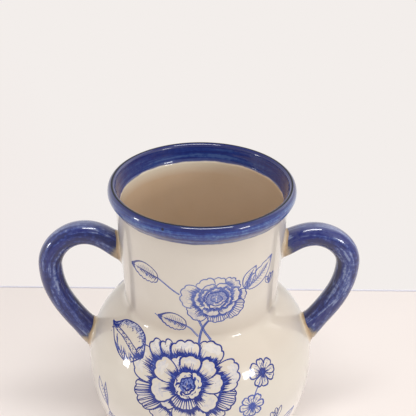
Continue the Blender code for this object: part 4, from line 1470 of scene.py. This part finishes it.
soft_box("right_soft_box", (62, 34), 1.7, (1.3, 1.3), 2.3, tint="#fff8f0")
soft_box("left_soft_box", (-62, 34), 1.7, (1.3, 1.3), 1.2)
soft_box("back_right_soft_box", (130, 40), 1.7, (1.3, 1.3), 5.0)
soft_box("left_window", (-77, 7), 1.6, (0.20, 0.22), 2.8)
soft_box("right_window", (49, 16), 1.6, (0.34, 0.25), 4.4)
soft_box("overhead_strip", (12, 72), 1.5, (1.0, 0.22), 13.5)

# %% [markdown]
# The room itself is a world colour. Someone stands in front of the table, so the light from there
# is dimmer, and the ceiling is dimmer than the walls, or the glaze would mirror it too brightly.
# The wall that is seen straight on is an even colour, with a faint rosy painted shadow low on the left.

# %% Room
room = bpy.data.worlds.new("pale_room")
bpy.context.scene.world = room
room.use_nodes = True
sky = room.node_tree
looking = add(sky, "ShaderNodeTexCoord").outputs["Generated"]
to_viewer = add(sky, "ShaderNodeVectorMath", {0: looking, 1: (0.0, -0.94, 0.34)}, operation="DOT_PRODUCT")
dimmer = add(sky, "ShaderNodeMapRange", {
    "Value": to_viewer, "From Min": -0.1, "From Max": 0.8, "To Min": 0.95, "To Max": 0.57},
    interpolation_type="SMOOTHSTEP")
upward = add(sky, "ShaderNodeSeparateXYZ", {0: looking}).outputs["Z"]
ceiling = add(sky, "ShaderNodeMapRange", {
    "Value": upward, "From Min": 0.35, "From Max": 0.9, "To Min": 0.97, "To Max": 0.45})
strength = add(sky, "ShaderNodeMath", {0: dimmer, 1: ceiling}, operation="MULTIPLY")
room_light = add(sky, "ShaderNodeBackground", {"Color": "#fffbf8", "Strength": strength})
low_left = add(sky, "ShaderNodeVectorMath", {0: looking, 1: (-0.85, 0.0, -0.50)}, operation="DOT_PRODUCT")
# painted shadow: the wall is a little darker and rosier low on the left
painted_shadow_low_left = add(sky, "ShaderNodeMapRange", {"Value": low_left, "From Min": 0.33, "From Max": 0.60})
wall_with_painted_shadow = add(sky, "ShaderNodeMix", {"Factor": painted_shadow_low_left, "A": "#f3eeeb", "B": "#f2e8e5"}, data_type="RGBA")
wall_seen = wire(sky.nodes["Background"], {"Color": wall_with_painted_shadow, "Strength": 1.0})
straight_on = add(sky, "ShaderNodeLightPath").outputs["Is Camera Ray"]
either = add(sky, "ShaderNodeMixShader", {0: straight_on, 1: room_light, 2: wall_seen})
wire(sky.nodes["World Output"], {"Surface": either})
bpy.context.scene.view_settings.view_transform = "Standard"
print("nodes in the room:", len(sky.nodes))

# %% [markdown]
# ## Hand over to the frame
#
# Every piece rides on the vase's one body and stands for the imported solid whose place it takes,
# which is hidden.

# %% Ride and replace
STANDS_FOR = [
    (belly, "belly", "cream_glaze"), (neck, "neck", "cream_glaze"), (lip, "lip", "cobalt_glaze"),
    (foot, "foot_ring", "bare_clay"),
    (handles["left"], "left_handle", "cobalt_glaze"), (handles["right"], "right_handle", "cobalt_glaze"),
    (fillets["left", "neck"], "left_upper_luting", "thin_glaze"),
    (fillets["left", "belly"], "left_lower_luting", "thin_glaze"),
    (fillets["right", "neck"], "right_upper_luting", "thin_glaze"),
    (fillets["right", "belly"], "right_lower_luting", "thin_glaze"),
]
for piece, node, finish_slot in STANDS_FOR:
    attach(piece, "root")
    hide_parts(node)
for piece in drawings:
    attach(piece, "root")
